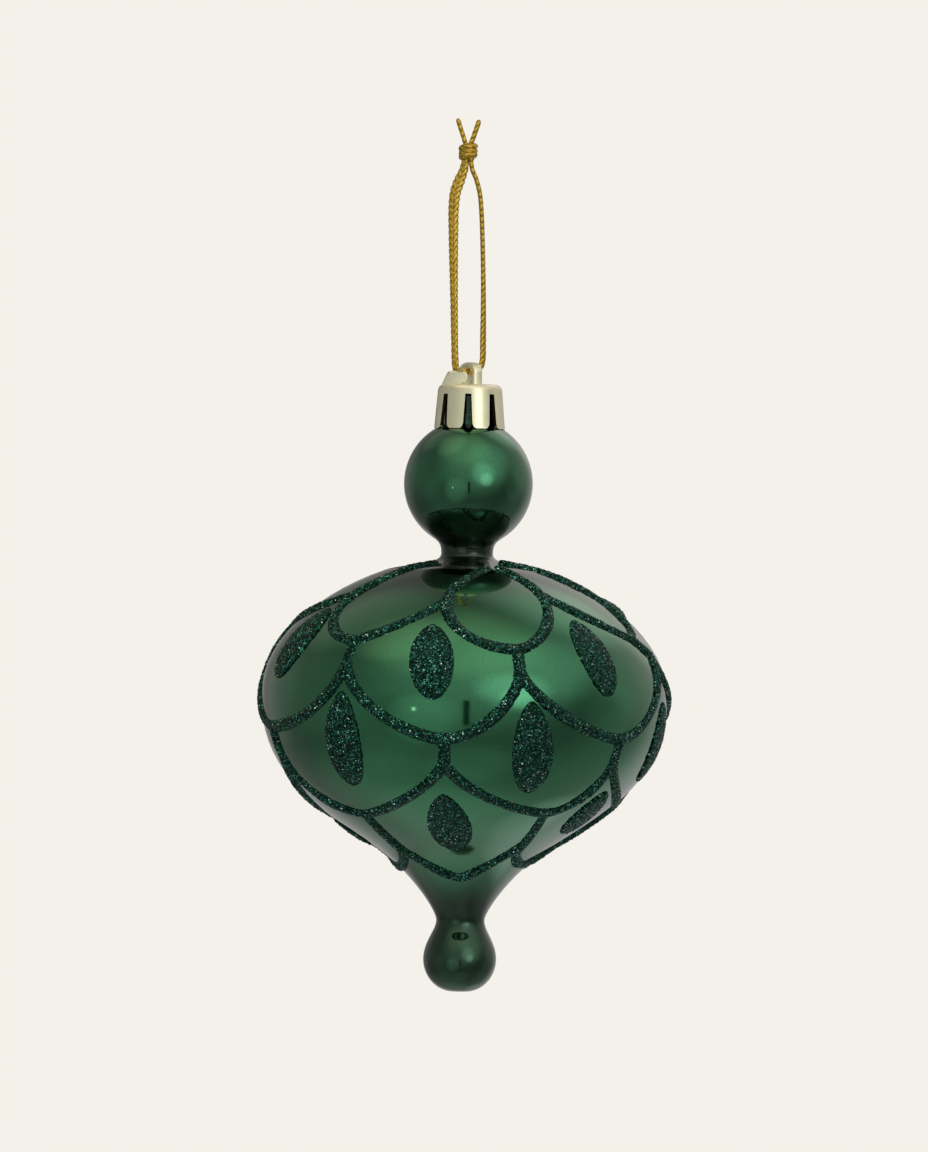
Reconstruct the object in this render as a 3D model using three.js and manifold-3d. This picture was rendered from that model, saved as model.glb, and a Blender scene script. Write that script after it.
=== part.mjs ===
// A hanging drop ornament: a hollow moulded shell with a ball, a wide body and a finial bulb,
// a slotted cap with a moulded bail, a braided cord loop, and raised glitter scallops and leaves.
// Millimetres, +Z up, the front towards -Y. Heights are measured from the finial's foot, and the
// whole is then lowered so that the origin lies where the loop hangs, just under its knot.
import * as THREE from 'three';
import { mergeVertices } from 'three/addons/utils/BufferGeometryUtils.js';
import Module from 'manifold-3d';

// Shell: radii and heights of the stations that its outline passes
const FOOT_R = 2.5;
const FINIAL_R = 7.2;
const FINIAL_Z = 6.2;
const LOWER_NECK_R = 4.75;
const LOWER_NECK_Z = 13.9;
const FLANK_R = 18.3;
const FLANK_Z = 29;
const BODY_R = 40;
const BODY_Z = 58;
const SHOULDER_R = 16;
const SHOULDER_Z = 82.7;
const UPPER_NECK_R = 5.1;
const UPPER_NECK_Z = 86;
const BALL_R = 12.7;
const BALL_Z = 99.9;
const BALL_BLEND_R = 7;
const COLLAR_R = 5.2;
const COLLAR_HEIGHT = 2.1;
const TUBE_R = 4.6;
const RIM_Z = 117.3;
const RIM_ROUND = 0.3;
const SHELL_WALL = 1;

// How steeply the outline leaves the flank and the shoulder, as rise over run
const FLANK_SLOPE = 0.62;
const SHOULDER_SLOPE = 0.36;

// Cap: a slotted cup over the neck
const CAP_TOP_R = 6.35;
const CAP_SKIRT_R = 7;
const CAP_WALL = 0.75;
const CAP_SHOULDER = 1;
const CAP_PLATE = 1;
const CAP_RIM_GAP = 1.1;
const CAP_FINGERS = 8;
const CAP_TURN = -3;
const NECK_CLEARANCE = 0.3;
const SLOT_TOP_WIDTH = 1.2;
const SLOT_MOUTH_WIDTH = 1.8;
const SLOT_HEAD = 2;
const FINGER_ROUND = 1.15;

// Bail: an upright band arch, turned on the cap, and the ramp beside it that guides the cord in.
// Heights are above the cap's top, and the ramp's left and right are along its own line
const BAIL_TURN = -64;
const BAIL_HEIGHT = 4.4;
const BAIL_HALF_SPAN = 3.5;
const BAIL_LEG = 1.8;
const BAIL_CROWN = 0.9;
const BAIL_BAND = 1.9;
const BAIL_ROUND = 0.28;
const BAIL_SUNK = 0.5;
const RAMP_TURN = -16;
const RAMP_HEIGHT = 2.8;
const RAMP_THICKNESS = 1;
const RAMP_OUT = 3.7;
const RAMP_LEFT = -4.5;
const RAMP_TOP_LEFT = -2.7;
const RAMP_RIGHT = 0.52;
const RAMP_ROUND = 0.22;

// Cord: a soft braid, doubled through the bail and knotted above it
const CORD_D = 1.15;
const CORD_SIDES = 8;
const CORD_STEPS = 66;
const CORD_GAP = 0.25;
const END_GAP = 0.3;
const KNOT_TURNS = 3;
const KNOT_R = 2.05;
const TAIL_LENGTH = 6;
const TAIL_LEAN = 17;
const TAIL_SPREAD = 0.62;
const HANG_UNDER_KNOT = 2;

// Glitter: raised beads in four rows of scallops, and a leaf in each scallop of the lower three
const SEAT_GAP = 0.3;
const BEAD_WIDTH = 2.2;
const BEAD_HEIGHT = 0.75;
const BEAD_STEMS = [0, 4, 4.3, 11.5];
const LEAF_RIM = 0.3;
const LEAF_DOME = 0.5;

// Faceting
const AROUND = 32;
const BEAD_STEPS = 5;
const NECK_STEPS = 4;
const STEM_STEP = 4.5;
const LEAF_ROWS = 6;

const wasm = await Module();
wasm.setup();
const rad = THREE.MathUtils.degToRad;
const capTopZ = RIM_Z + CAP_RIM_GAP + CAP_PLATE;

// Solids from geometry, and back

function welded(geometry) {
  const bare = geometry.index ? geometry.toNonIndexed() : geometry.clone();
  for (const name of Object.keys(bare.attributes)) {
    if (name !== 'position') bare.deleteAttribute(name);
  }
  const merged = mergeVertices(bare, 1e-4);
  const old = merged.index.array;
  const kept = [];
  for (let i = 0; i < old.length; i += 3) {
    const [a, b, c] = [old[i], old[i + 1], old[i + 2]];
    if (a !== b && b !== c && c !== a) kept.push(a, b, c);
  }
  merged.setIndex(kept);
  if (signedVolume(merged) < 0) {
    for (let i = 0; i < kept.length; i += 3) {
      [kept[i], kept[i + 1]] = [kept[i + 1], kept[i]];
    }
    merged.setIndex(kept);
  }
  return merged;
}

function signedVolume(geometry) {
  const at = geometry.attributes.position;
  const index = geometry.index.array;
  const corner = [0, 1, 2].map(() => new THREE.Vector3());
  let sum = 0;
  for (let i = 0; i < index.length; i += 3) {
    corner.forEach((v, k) => v.fromBufferAttribute(at, index[i + k]));
    sum += corner[0].dot(corner[1].clone().cross(corner[2]));
  }
  return sum;
}

function solid(geometry) {
  const merged = welded(geometry);
  return new wasm.Manifold(new wasm.Mesh({
    numProp: 3,
    vertProperties: new Float32Array(merged.attributes.position.array),
    triVerts: new Uint32Array(merged.index.array),
  }));
}

function geometryOf(manifold) {
  const mesh = manifold.getMesh();
  const geometry = new THREE.BufferGeometry();
  const position = new Float32Array(mesh.numVert * 3);
  for (let i = 0; i < mesh.numVert; i++) {
    for (let k = 0; k < 3; k++) position[3 * i + k] = mesh.vertProperties[mesh.numProp * i + k];
  }
  geometry.setAttribute('position', new THREE.BufferAttribute(position, 3));
  geometry.setIndex(Array.from(mesh.triVerts));
  return geometry;
}

function joined(solids) {
  return solids.reduce((whole, next) => whole.add(next));
}

// Rings of points, one after another, closed with a face at each end
function skinned(rings) {
  const sides = rings[0].length;
  const points = rings.flat();
  const index = [];
  for (let ring = 0; ring + 1 < rings.length; ring++) {
    for (let side = 0; side < sides; side++) {
      const a = ring * sides + side;
      const b = ring * sides + (side + 1) % sides;
      index.push(a, b, b + sides, a, b + sides, a + sides);
    }
  }
  const last = (rings.length - 1) * sides;
  for (let side = 1; side + 1 < sides; side++) {
    index.push(0, side + 1, side, last, last + side, last + side + 1);
  }
  const geometry = new THREE.BufferGeometry();
  geometry.setFromPoints(points);
  geometry.setIndex(index);
  return welded(geometry);
}

function revolved(profile, segments) {
  return new THREE.LatheGeometry(profile, segments).rotateX(Math.PI / 2);
}

// Shell outline as (radius, height), from the foot to the ball's top

const at = (r, z) => new THREE.Vector2(r, z);

function bend(from, leaving, arriving, to) {
  return new THREE.CubicBezierCurve(from, leaving, arriving, to);
}

const foot = at(FOOT_R, 0);
const finialSide = at(FINIAL_R, FINIAL_Z);
const lowerNeck = at(LOWER_NECK_R, LOWER_NECK_Z);
const flank = at(FLANK_R, FLANK_Z);
const bodySide = at(BODY_R, BODY_Z);
const shoulder = at(SHOULDER_R, SHOULDER_Z);
const upperNeck = at(UPPER_NECK_R, UPPER_NECK_Z);
const ballBlend = at(BALL_BLEND_R, BALL_Z - Math.sqrt(BALL_R ** 2 - BALL_BLEND_R ** 2));
const collarFoot = at(COLLAR_R, BALL_Z + Math.sqrt(BALL_R ** 2 - COLLAR_R ** 2));
const collarTopZ = collarFoot.y + COLLAR_HEIGHT;

const finialDrop = LOWER_NECK_Z - FINIAL_Z;
const flankRise = FLANK_Z - LOWER_NECK_Z;
const flankRun = FLANK_R - LOWER_NECK_R;
const bellyRun = BODY_R - FLANK_R;
const bellyRise = BODY_Z - FLANK_Z;
const topRun = BODY_R - SHOULDER_R;
const topRise = SHOULDER_Z - BODY_Z;
const neckRun = SHOULDER_R - UPPER_NECK_R;
const neckRise = UPPER_NECK_Z - SHOULDER_Z;
const blendRise = ballBlend.y - UPPER_NECK_Z;
const blendSlope = BALL_BLEND_R / (BALL_Z - ballBlend.y);

const finialFoot = bend(
  foot,
  at(FOOT_R + 0.6 * (FINIAL_R - FOOT_R), 0.1 * FINIAL_Z),
  at(FINIAL_R, 0.54 * FINIAL_Z),
  finialSide,
);
const finialTop = bend(
  finialSide,
  at(FINIAL_R, FINIAL_Z + 0.45 * finialDrop),
  at(LOWER_NECK_R, LOWER_NECK_Z - 0.27 * finialDrop),
  lowerNeck,
);
const flare = bend(
  lowerNeck,
  at(LOWER_NECK_R, LOWER_NECK_Z + 0.12 * flankRise),
  at(FLANK_R - 0.59 * flankRun, FLANK_Z - 0.59 * flankRun * FLANK_SLOPE),
  flank,
);
const belly = bend(
  flank,
  at(FLANK_R + 0.715 * bellyRun, FLANK_Z + 0.715 * bellyRun * FLANK_SLOPE),
  at(BODY_R, BODY_Z - 0.43 * bellyRise),
  bodySide,
);
const top = bend(
  bodySide,
  at(BODY_R, BODY_Z + 0.41 * topRise),
  at(SHOULDER_R + 0.583 * topRun, SHOULDER_Z - 0.583 * topRun * SHOULDER_SLOPE),
  shoulder,
);
const shoulderFlare = bend(
  shoulder,
  at(SHOULDER_R - 0.3 * neckRun, SHOULDER_Z + 0.3 * neckRun * SHOULDER_SLOPE),
  at(UPPER_NECK_R, SHOULDER_Z + 0.35 * neckRise),
  upperNeck,
);
const ballFoot = bend(
  upperNeck,
  at(UPPER_NECK_R, UPPER_NECK_Z + 0.6 * blendRise),
  at(UPPER_NECK_R + 0.3 * (BALL_BLEND_R - UPPER_NECK_R),
    ballBlend.y - 0.7 * (BALL_BLEND_R - UPPER_NECK_R) * blendSlope),
  ballBlend,
);
const ball = new THREE.EllipseCurve(
  0, BALL_Z, BALL_R, BALL_R,
  -Math.acos(BALL_BLEND_R / BALL_R), Math.acos(COLLAR_R / BALL_R),
);

const SHELL_ARCS = [
  [finialFoot, 4], [finialTop, 3], [flare, 4], [belly, 7],
  [top, 6], [shoulderFlare, 4], [ballFoot, 3], [ball, 8],
];

// The curve's points in even steps, each with its outward normal
function walked(curve, steps) {
  return Array.from({ length: steps + 1 }, (_, i) => {
    const t = curve.getTangentAt(i / steps);
    return { place: curve.getPointAt(i / steps), out: at(t.y, -t.x) };
  });
}

function shellProfile() {
  const outside = SHELL_ARCS.flatMap(([curve, steps]) => walked(curve, steps).slice(0, -1));
  const rim = [
    at(COLLAR_R, collarFoot.y),
    at(COLLAR_R, collarTopZ - RIM_ROUND),
    at(COLLAR_R - RIM_ROUND, collarTopZ),
    at(TUBE_R, collarTopZ),
    at(TUBE_R, RIM_Z - RIM_ROUND),
    at(TUBE_R - RIM_ROUND, RIM_Z),
  ];
  const bore = TUBE_R - SHELL_WALL;
  const inside = SHELL_ARCS
    .flatMap(([curve, steps]) => walked(curve, Math.ceil(steps / 2)).slice(0, -1))
    .map(({ place, out }) => place.clone().addScaledVector(out, -SHELL_WALL))
    .filter((p) => p.x > FOOT_R / 2 && (p.y < BALL_Z || p.x > bore))
    .reverse();
  return [
    at(0, 0),
    ...outside.map((step) => step.place),
    ...rim,
    at(bore, RIM_Z),
    at(bore, BALL_Z + Math.sqrt((BALL_R - SHELL_WALL) ** 2 - bore ** 2)),
    ...inside,
    at(0, SHELL_WALL),
  ];
}

// The body's side between its necks, for what is drawn on it: share 0 is the upper neck and
// share 1 the lower one, and azimuth 0 is the front

const bodySideArcs = [shoulderFlare, top, belly, flare];
const sideLengths = bodySideArcs.map((curve) => curve.getLength());
const sideLength = sideLengths.reduce((sum, length) => sum + length);

function onBody(azimuth, share, lift = 0) {
  let left = THREE.MathUtils.clamp(share, 0, 1) * sideLength;
  let arc = 0;
  while (arc < bodySideArcs.length - 1 && left > sideLengths[arc]) {
    left -= sideLengths[arc];
    arc += 1;
  }
  // Each arc runs upwards, and the share runs down
  const along = 1 - Math.min(left / sideLengths[arc], 1);
  const curve = bodySideArcs[arc];
  const place = curve.getPointAt(along);
  const slope = curve.getTangentAt(along);
  const r = place.x + slope.y * lift;
  const z = place.y - slope.x * lift;
  const turn = rad(azimuth);
  const outward = new THREE.Vector3(Math.sin(turn) * slope.y, -Math.cos(turn) * slope.y, -slope.x);
  return { place: new THREE.Vector3(Math.sin(turn) * r, -Math.cos(turn) * r, z), outward };
}

// Glitter rows: each scallop's lowest point and how full its left and right sides are, as
// [azimuth, share, left, right], drawn by hand and so a little uneven. Full 2 is an ellipse
const ROW_LOWS = [
  [[-102, 0.312, 2, 1.1], [-36, 0.338, 2, 1.2], [15.5, 0.351, 2, 1.6], [65, 0.325, 1.25, 2],
    [132, 0.335, 1.1, 2], [192, 0.345, 2, 2]],
  [[-70, 0.508, 2, 2], [-5.5, 0.518, 1.6, 1.7], [47.5, 0.517, 1.6, 1.7], [106, 0.505, 1.3, 2],
    [160, 0.515, 2, 2], [223, 0.51, 2, 2]],
  [[-42.5, 0.698, 2, 1.5], [33, 0.684, 1.6, 1.9], [86, 0.675, 1.4, 2], [132, 0.69, 2, 2],
    [190, 0.695, 2, 2], [256, 0.735, 2, 1.4]],
  [[-2, 0.896, 1.6, 1.6], [60, 0.862, 2, 2], [110, 0.875, 2, 2], [161, 0.885, 2, 2],
    [224, 0.885, 2, 2], [281, 0.877, 2, 2]],
];
// The first row's petals part from lines that run down from the neck, each the left side of one
// petal and the right side of the one before: [azimuth, share] at its top and where it parts,
// and how fast it turns aside
const NECK_LINES = [
  [-148, 0.09, -135, 0.215, 1.4],
  [-31, 0.09, -53, 0.222, 0.8],
  [16, 0.09, -7.7, 0.228, 2.1],
  [24, 0.09, 34.2, 0.2, 2.2],
  [30, 0.1, 75, 0.225, 2.2],
  [112, 0.09, 162, 0.215, 1.6],
];

// Leaves of rows two to four, one for each scallop: [azimuth, share, width, length, lean]
const ROW_LEAVES = [
  [[-61, 0.341, 9.6, 16.9, -12], [-9.7, 0.373, 8.6, 16.1, 5], [41.5, 0.361, 8, 16.9, 8],
    [106, 0.395, 7.2, 13, 4], [160, 0.37, 8, 15, -5], [223, 0.36, 8, 15, 4]],
  [[-36.4, 0.528, 8.2, 19.6, -3], [20, 0.537, 8.2, 19.3, 6], [76, 0.53, 7.6, 16.8, 5],
    [133, 0.542, 7.6, 16.5, 3], [191, 0.547, 7.6, 16.5, 3], [256, 0.56, 7.6, 18, -3]],
  [[-5.5, 0.722, 8.4, 18.6, 4], [57, 0.692, 7.2, 13.6, 4], [109, 0.71, 6.6, 12, -4],
    [161, 0.72, 7.6, 14, 3], [223, 0.735, 7.6, 13, -3], [271, 0.772, 5.6, 9, 3]],
];

// A quarter round from steep at the side to level at the low point
function quarter(side, low, full, steps) {
  return Array.from({ length: steps + 1 }, (_, i) => {
    const turn = (i / steps) * Math.PI / 2;
    return [
      low[0] + (side[0] - low[0]) * Math.cos(turn) ** (2 / full),
      side[1] + (low[1] - side[1]) * Math.sin(turn) ** (2 / full),
    ];
  });
}

// A petal's edge: down its neck line, and round to its low point
function petalHalf([topAzimuth, topShare, partAzimuth, partShare, bent], low, full) {
  const neck = Array.from({ length: NECK_STEPS }, (_, i) => {
    const down = i / NECK_STEPS;
    return [
      partAzimuth + (topAzimuth - partAzimuth) * (1 - down) ** bent,
      topShare + (partShare - topShare) * down,
    ];
  });
  return [...neck, ...quarter([partAzimuth, partShare], low, full, BEAD_STEPS)];
}

// From a junction with the row above: a stem, which the scallop shares with its neighbour
function hungQuarter(junction, low, full, stem) {
  const steps = Math.ceil(stem / STEM_STEP);
  const spots = Array.from({ length: steps }, (_, i) => (
    [junction[0], junction[1] + stem / sideLength * i / steps]
  ));
  const stemFoot = [junction[0], junction[1] + stem / sideLength];
  return [...spots, ...quarter(stemFoot, low, full, BEAD_STEPS)];
}

function turned(line, turns) {
  return line.map(([azimuth, share]) => [azimuth + 360 * turns, share]);
}

// Every scallop of a row, each as one line from its left upper end, round its low point, to its
// right upper end
function rowLines(row) {
  const lows = ROW_LOWS[row];
  const half = (i, low, full) => (row === 0
    ? petalHalf(NECK_LINES[i], low, full)
    : hungQuarter(ROW_LOWS[row - 1][i], low, full, BEAD_STEMS[row]));
  return lows.map((low, i) => {
    const last = i + 1 === lows.length;
    const lowBefore = last ? [low[0] - 360, low[1]] : low;
    const right = half((i + 1) % lows.length, lowBefore, low[3]);
    return [...half(i, low, low[2]).slice(0, -1), ...turned(right.reverse(), last ? 1 : 0)];
  });
}

// The bead's section, as [across, up] in half widths and heights
const BEAD_SECTION = [[-1, 0], [1, 0], [0.62, 1], [-0.62, 1]];

function bead(line, extra) {
  const half = BEAD_WIDTH / 2 + extra;
  const spots = line.map(([azimuth, share]) => onBody(azimuth, share));
  const last = spots.length - 1;
  const rings = spots.map(({ place, outward }, i) => {
    const along = spots[Math.min(i + 1, last)].place.clone()
      .sub(spots[Math.max(i - 1, 0)].place).normalize();
    const across = along.clone().cross(outward).normalize();
    return BEAD_SECTION.map(([x, up]) => place.clone()
      .addScaledVector(across, x * half)
      .addScaledVector(outward, SEAT_GAP - extra + up * (BEAD_HEIGHT + 2 * extra)));
  });
  // The ends reach on a little, so that beads that meet run into each other
  const reach = (from, to) => spots[to].place.clone().sub(spots[from].place).setLength(half / 2);
  const [before, after] = [reach(1, 0), reach(last - 1, last)];
  rings.unshift(rings[0].map((point) => point.clone().add(before)));
  rings.push(rings[rings.length - 1].map((point) => point.clone().add(after)));
  return solid(skinned(rings));
}

function beadRow(row, extra = 0) {
  return joined(rowLines(row).map((line) => bead(line, extra)));
}

function scallopRow(row) {
  const beads = beadRow(row);
  return row === 0 ? beads : beads.subtract(beadRow(row - 1, SEAT_GAP));
}

// A leaf: a domed pointed oval that lies on the body's curve
function leaf([azimuth, share, width, length, lean]) {
  const seat = onBody(azimuth, share).place;
  const seatR = Math.hypot(seat.x, seat.y);
  const tilt = Math.tan(rad(lean));
  const columns = 4;
  const spot = (row, column, lift) => {
    const v = row / LEAF_ROWS * 2 - 1;
    const u = column / columns * 2 - 1;
    const half = (width / 2) * (1 - v * v) ** (v < 0 ? 0.68 : 0.55) * (1 + 0.08 * v);
    const down = v * length / 2;
    const shareHere = share + down / sideLength;
    const r = Math.hypot(...onBody(azimuth, shareHere).place.toArray().slice(0, 2));
    const across = u * half + down * tilt * Math.min(1, r / seatR);
    const dome = lift * (LEAF_RIM + LEAF_DOME * (1 - u * u) * Math.sqrt(Math.max(0, 1 - v * v)));
    return onBody(azimuth + THREE.MathUtils.radToDeg(across / r), shareHere, SEAT_GAP + dome).place;
  };
  const rings = [];
  for (let row = 0; row <= LEAF_ROWS; row++) {
    // The pointed ends stop a little short, where the oval is still as wide as its rim is thick
    const inner = THREE.MathUtils.clamp(row, 0.12, LEAF_ROWS - 0.12);
    const ring = [];
    for (let column = 0; column <= columns; column++) ring.push(spot(inner, column, 1));
    for (let column = columns; column >= 0; column--) ring.push(spot(inner, column, 0));
    rings.push(ring);
  }
  return skinned(rings);
}

// Cap

const capTipInnerR = CAP_SKIRT_R - CAP_WALL;
const capTipZ = BALL_Z + Math.sqrt(BALL_R ** 2 - capTipInnerR ** 2) + NECK_CLEARANCE;

function capCup() {
  const corner = Array.from({ length: 5 }, (_, i) => {
    const turn = (i / 4) * Math.PI / 2;
    return at(
      CAP_TOP_R - CAP_SHOULDER + CAP_SHOULDER * Math.cos(turn),
      capTopZ - CAP_SHOULDER + CAP_SHOULDER * Math.sin(turn),
    );
  });
  const underZ = capTopZ - CAP_PLATE;
  const innerR = COLLAR_R + NECK_CLEARANCE;
  return solid(revolved([
    at(0, underZ),
    at(innerR - CAP_SHOULDER / 2, underZ),
    at(innerR, underZ - CAP_SHOULDER / 2),
    at(capTipInnerR, capTipZ),
    at(CAP_SKIRT_R, capTipZ),
    ...corner,
    at(0, capTopZ),
  ], 4 * CAP_FINGERS));
}

// A slot that widens downwards and rounds the tips of the fingers beside it
function slotCutter(index) {
  const headZ = capTopZ - SLOT_HEAD;
  const mouthZ = capTipZ + FINGER_ROUND;
  const halfPitch = Math.PI * CAP_SKIRT_R / CAP_FINGERS;
  const halfTop = SLOT_TOP_WIDTH / 2;
  const halfMouth = SLOT_MOUTH_WIDTH / 2;
  const halfFoot = Math.min(halfMouth + FINGER_ROUND, 0.9 * halfPitch);
  const clearZ = capTipZ - 1;
  const shape = new THREE.Shape();
  shape.moveTo(-halfTop, headZ);
  shape.lineTo(-halfMouth, mouthZ);
  shape.quadraticCurveTo(-halfMouth, capTipZ, -halfFoot, capTipZ);
  shape.lineTo(-halfFoot, clearZ);
  shape.lineTo(halfFoot, clearZ);
  shape.lineTo(halfFoot, capTipZ);
  shape.quadraticCurveTo(halfMouth, capTipZ, halfMouth, mouthZ);
  shape.lineTo(halfTop, headZ);
  const cutter = new THREE.ExtrudeGeometry(shape, {
    depth: CAP_SKIRT_R,
    bevelEnabled: false,
    curveSegments: 4,
  });
  return solid(upright(cutter, -COLLAR_R / 2, CAP_TURN + index * 360 / CAP_FINGERS, 0));
}

// Stands a flat extrusion up with its depth towards the front, turns it and sets its height
function upright(geometry, y, turn, z) {
  return geometry.rotateX(Math.PI / 2).translate(0, y, 0).rotateZ(rad(turn)).translate(0, 0, z);
}

function roundedBand(shape, depth, round) {
  return new THREE.ExtrudeGeometry(shape, {
    depth: depth - 2 * round,
    bevelThickness: round,
    bevelSize: round,
    bevelOffset: -round,
    bevelSegments: 2,
    curveSegments: 4,
  });
}

function bailArch() {
  const outer = BAIL_HALF_SPAN;
  const inner = BAIL_HALF_SPAN - BAIL_LEG;
  const innerTop = BAIL_HEIGHT - BAIL_CROWN;
  const outerSpring = BAIL_HEIGHT - 0.55 * outer;
  const innerSpring = innerTop - 0.85 * inner;
  const shape = new THREE.Shape();
  shape.moveTo(-outer, -BAIL_SUNK);
  shape.lineTo(-outer, outerSpring);
  shape.bezierCurveTo(-outer, BAIL_HEIGHT - 0.5, -0.5 * outer, BAIL_HEIGHT, 0, BAIL_HEIGHT);
  shape.bezierCurveTo(0.5 * outer, BAIL_HEIGHT, outer, BAIL_HEIGHT - 0.5, outer, outerSpring);
  shape.lineTo(outer, -BAIL_SUNK);
  shape.lineTo(inner, -BAIL_SUNK);
  shape.lineTo(inner, innerSpring);
  shape.bezierCurveTo(inner, innerTop - 0.4, 0.6 * inner, innerTop, 0, innerTop);
  shape.bezierCurveTo(-0.6 * inner, innerTop, -inner, innerTop - 0.4, -inner, innerSpring);
  shape.lineTo(-inner, -BAIL_SUNK);
  const arch = roundedBand(shape, BAIL_BAND, BAIL_ROUND);
  return solid(upright(arch, BAIL_BAND / 2 - BAIL_ROUND, BAIL_TURN, capTopZ));
}

function bailRamp() {
  const slope = 0.35;
  const lift = 0.2;
  const shape = new THREE.Shape();
  shape.moveTo(RAMP_LEFT, -BAIL_SUNK);
  shape.lineTo(RAMP_LEFT + slope, lift);
  shape.lineTo(RAMP_TOP_LEFT - slope, RAMP_HEIGHT - slope);
  shape.quadraticCurveTo(RAMP_TOP_LEFT, RAMP_HEIGHT, RAMP_TOP_LEFT + 2 * slope, RAMP_HEIGHT);
  shape.lineTo(RAMP_RIGHT - 2 * slope, RAMP_HEIGHT - slope);
  shape.quadraticCurveTo(RAMP_RIGHT, RAMP_HEIGHT - slope, RAMP_RIGHT, RAMP_HEIGHT / 2);
  shape.quadraticCurveTo(RAMP_RIGHT, 2 * lift, RAMP_RIGHT - slope, lift);
  shape.lineTo(RAMP_RIGHT - 3 * slope, lift / 2);
  shape.lineTo(RAMP_RIGHT - 3 * slope, -BAIL_SUNK);
  const ramp = roundedBand(shape, RAMP_THICKNESS, RAMP_ROUND);
  return solid(upright(ramp, RAMP_THICKNESS / 2 - RAMP_ROUND - RAMP_OUT, RAMP_TURN, capTopZ));
}

function cap() {
  let cup = capCup();
  for (let index = 0; index < CAP_FINGERS; index++) cup = cup.subtract(slotCutter(index));
  return geometryOf(joined([cup, bailArch(), bailRamp()]));
}

// Cord

const cordR = CORD_D / 2;
const cordLowZ = capTopZ + BAIL_HEIGHT - BAIL_CROWN - CORD_GAP - cordR;

// The loop's route as [x, y, height above its lowest point]: from the knot down the left strand,
// through the bail, and up the right strand to the knot
const LOOP_ROUTE = [
  [-1.87, -0.3, 40.9], [-2.05, -0.34, 39.7], [-2.85, -0.5, 37.5], [-3.6, -0.7, 35.2],
  [-3.9, -0.85, 32], [-3.85, -1.05, 27], [-3.7, -1.2, 21], [-3.5, -1.35, 14.5],
  [-3.28, -1.46, 8], [-3.12, -1.51, 3.4], [-3.03, -1.47, 1.9], [-2.7, -1.32, 0.95],
  [-2, -0.97, 0.3], [-1, -0.49, 0], [0, 0, 0], [0.7, 0.34, 0.07],
  [1.45, 0.7, 0.4], [2.1, 1.02, 1.2], [2.36, 1.15, 2.4], [2.37, 1.19, 6],
  [2.32, 1.15, 12], [2.17, 1, 19], [1.9, 0.8, 25.8], [1.62, 0.55, 31],
  [1.2, 0.25, 35], [0.45, -0.05, 37.8], [-0.4, -0.26, 39.8], [-0.63, -0.3, 40.9],
];

const loopTop = LOOP_ROUTE[0];
const knotPlace = new THREE.Vector3(
  (loopTop[0] + LOOP_ROUTE[LOOP_ROUTE.length - 1][0]) / 2,
  loopTop[1],
  cordLowZ + loopTop[2] + END_GAP,
);
const hangPlace = knotPlace.clone().setZ(knotPlace.z - HANG_UNDER_KNOT);

function ringShape(r, sides) {
  const shape = new THREE.Shape();
  for (let side = 0; side < sides; side++) {
    const turn = (side / sides) * 2 * Math.PI;
    const corner = [r * Math.cos(turn), r * Math.sin(turn)];
    if (side === 0) shape.moveTo(...corner);
    else shape.lineTo(...corner);
  }
  return shape;
}

function cordLoop() {
  const route = LOOP_ROUTE.map(([x, y, up]) => new THREE.Vector3(x, y, cordLowZ + up));
  return new THREE.ExtrudeGeometry(ringShape(cordR, CORD_SIDES), {
    steps: CORD_STEPS,
    extrudePath: new THREE.CatmullRomCurve3(route, false, 'centripetal'),
    bevelEnabled: false,
  });
}

// The knot: the doubled cord's turns, pulled tight, with the two cut ends above them
function cordKnot() {
  const profile = [at(0, 0)];
  const steps = 4;
  for (let turn = 0; turn < KNOT_TURNS; turn++) {
    for (let i = 0; i < steps; i++) {
      const side = ((i + 0.5) / steps) * Math.PI;
      profile.push(at(
        KNOT_R - cordR + cordR * Math.sin(side),
        CORD_D * turn + cordR - cordR * Math.cos(side),
      ));
    }
  }
  profile[1].y = 0;
  profile.push(at(0, profile[profile.length - 1].y));
  const turns = solid(revolved(profile, 12));
  const topZ = profile[profile.length - 1].y;
  const tails = [-1, 1].map((side) => {
    const tail = new THREE.CapsuleGeometry(cordR, TAIL_LENGTH, 2, CORD_SIDES);
    tail.rotateX(Math.PI / 2).translate(0, 0, TAIL_LENGTH / 2);
    tail.rotateY(rad(side * TAIL_LEAN)).translate(side * TAIL_SPREAD, 0, topZ - cordR);
    return solid(tail);
  });
  return geometryOf(joined([turns, ...tails])).translate(...knotPlace.toArray());
}

// Materials and the whole

const green = new THREE.MeshStandardMaterial({ color: 0x2f6b42, roughness: 0.14, metalness: 0.75 });
const glitter = new THREE.MeshStandardMaterial({ color: 0x0b3a2c, roughness: 0.55, metalness: 0.6 });
const champagne = new THREE.MeshStandardMaterial({ color: 0xd9d3a8, roughness: 0.2, metalness: 0.9 });
const gold = new THREE.MeshStandardMaterial({ color: 0xb58a22, roughness: 0.45, metalness: 0.6 });

const ornament = new THREE.Group();
ornament.position.copy(hangPlace).negate();

function piece(name, geometry, material) {
  const mesh = new THREE.Mesh(geometry, material);
  mesh.name = name;
  ornament.add(mesh);
}

piece('cord_loop', cordLoop(), gold);
piece('cord_knot', cordKnot(), gold);
piece('cap', cap(), champagne);
piece('shell', revolved(shellProfile(), AROUND), green);
ROW_LOWS.forEach((_, row) => {
  piece(`glitter_row_${row + 1}`, geometryOf(scallopRow(row)), glitter);
});
ROW_LEAVES.forEach((leaves, row) => {
  leaves.forEach((place, i) => piece(`leaf_row_${row + 2}_${i + 1}`, leaf(place), glitter));
});

export default ornament;
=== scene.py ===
# Looks for a hanging drop ornament: a lacquered shell with a ball, a wide body and a finial bulb,
# scallops and leaves of glitter on glue, a metallised cap with its bail, and a gold braid loop.
import math
import random

import bmesh
import bpy
from mathutils import Matrix, Vector


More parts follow.
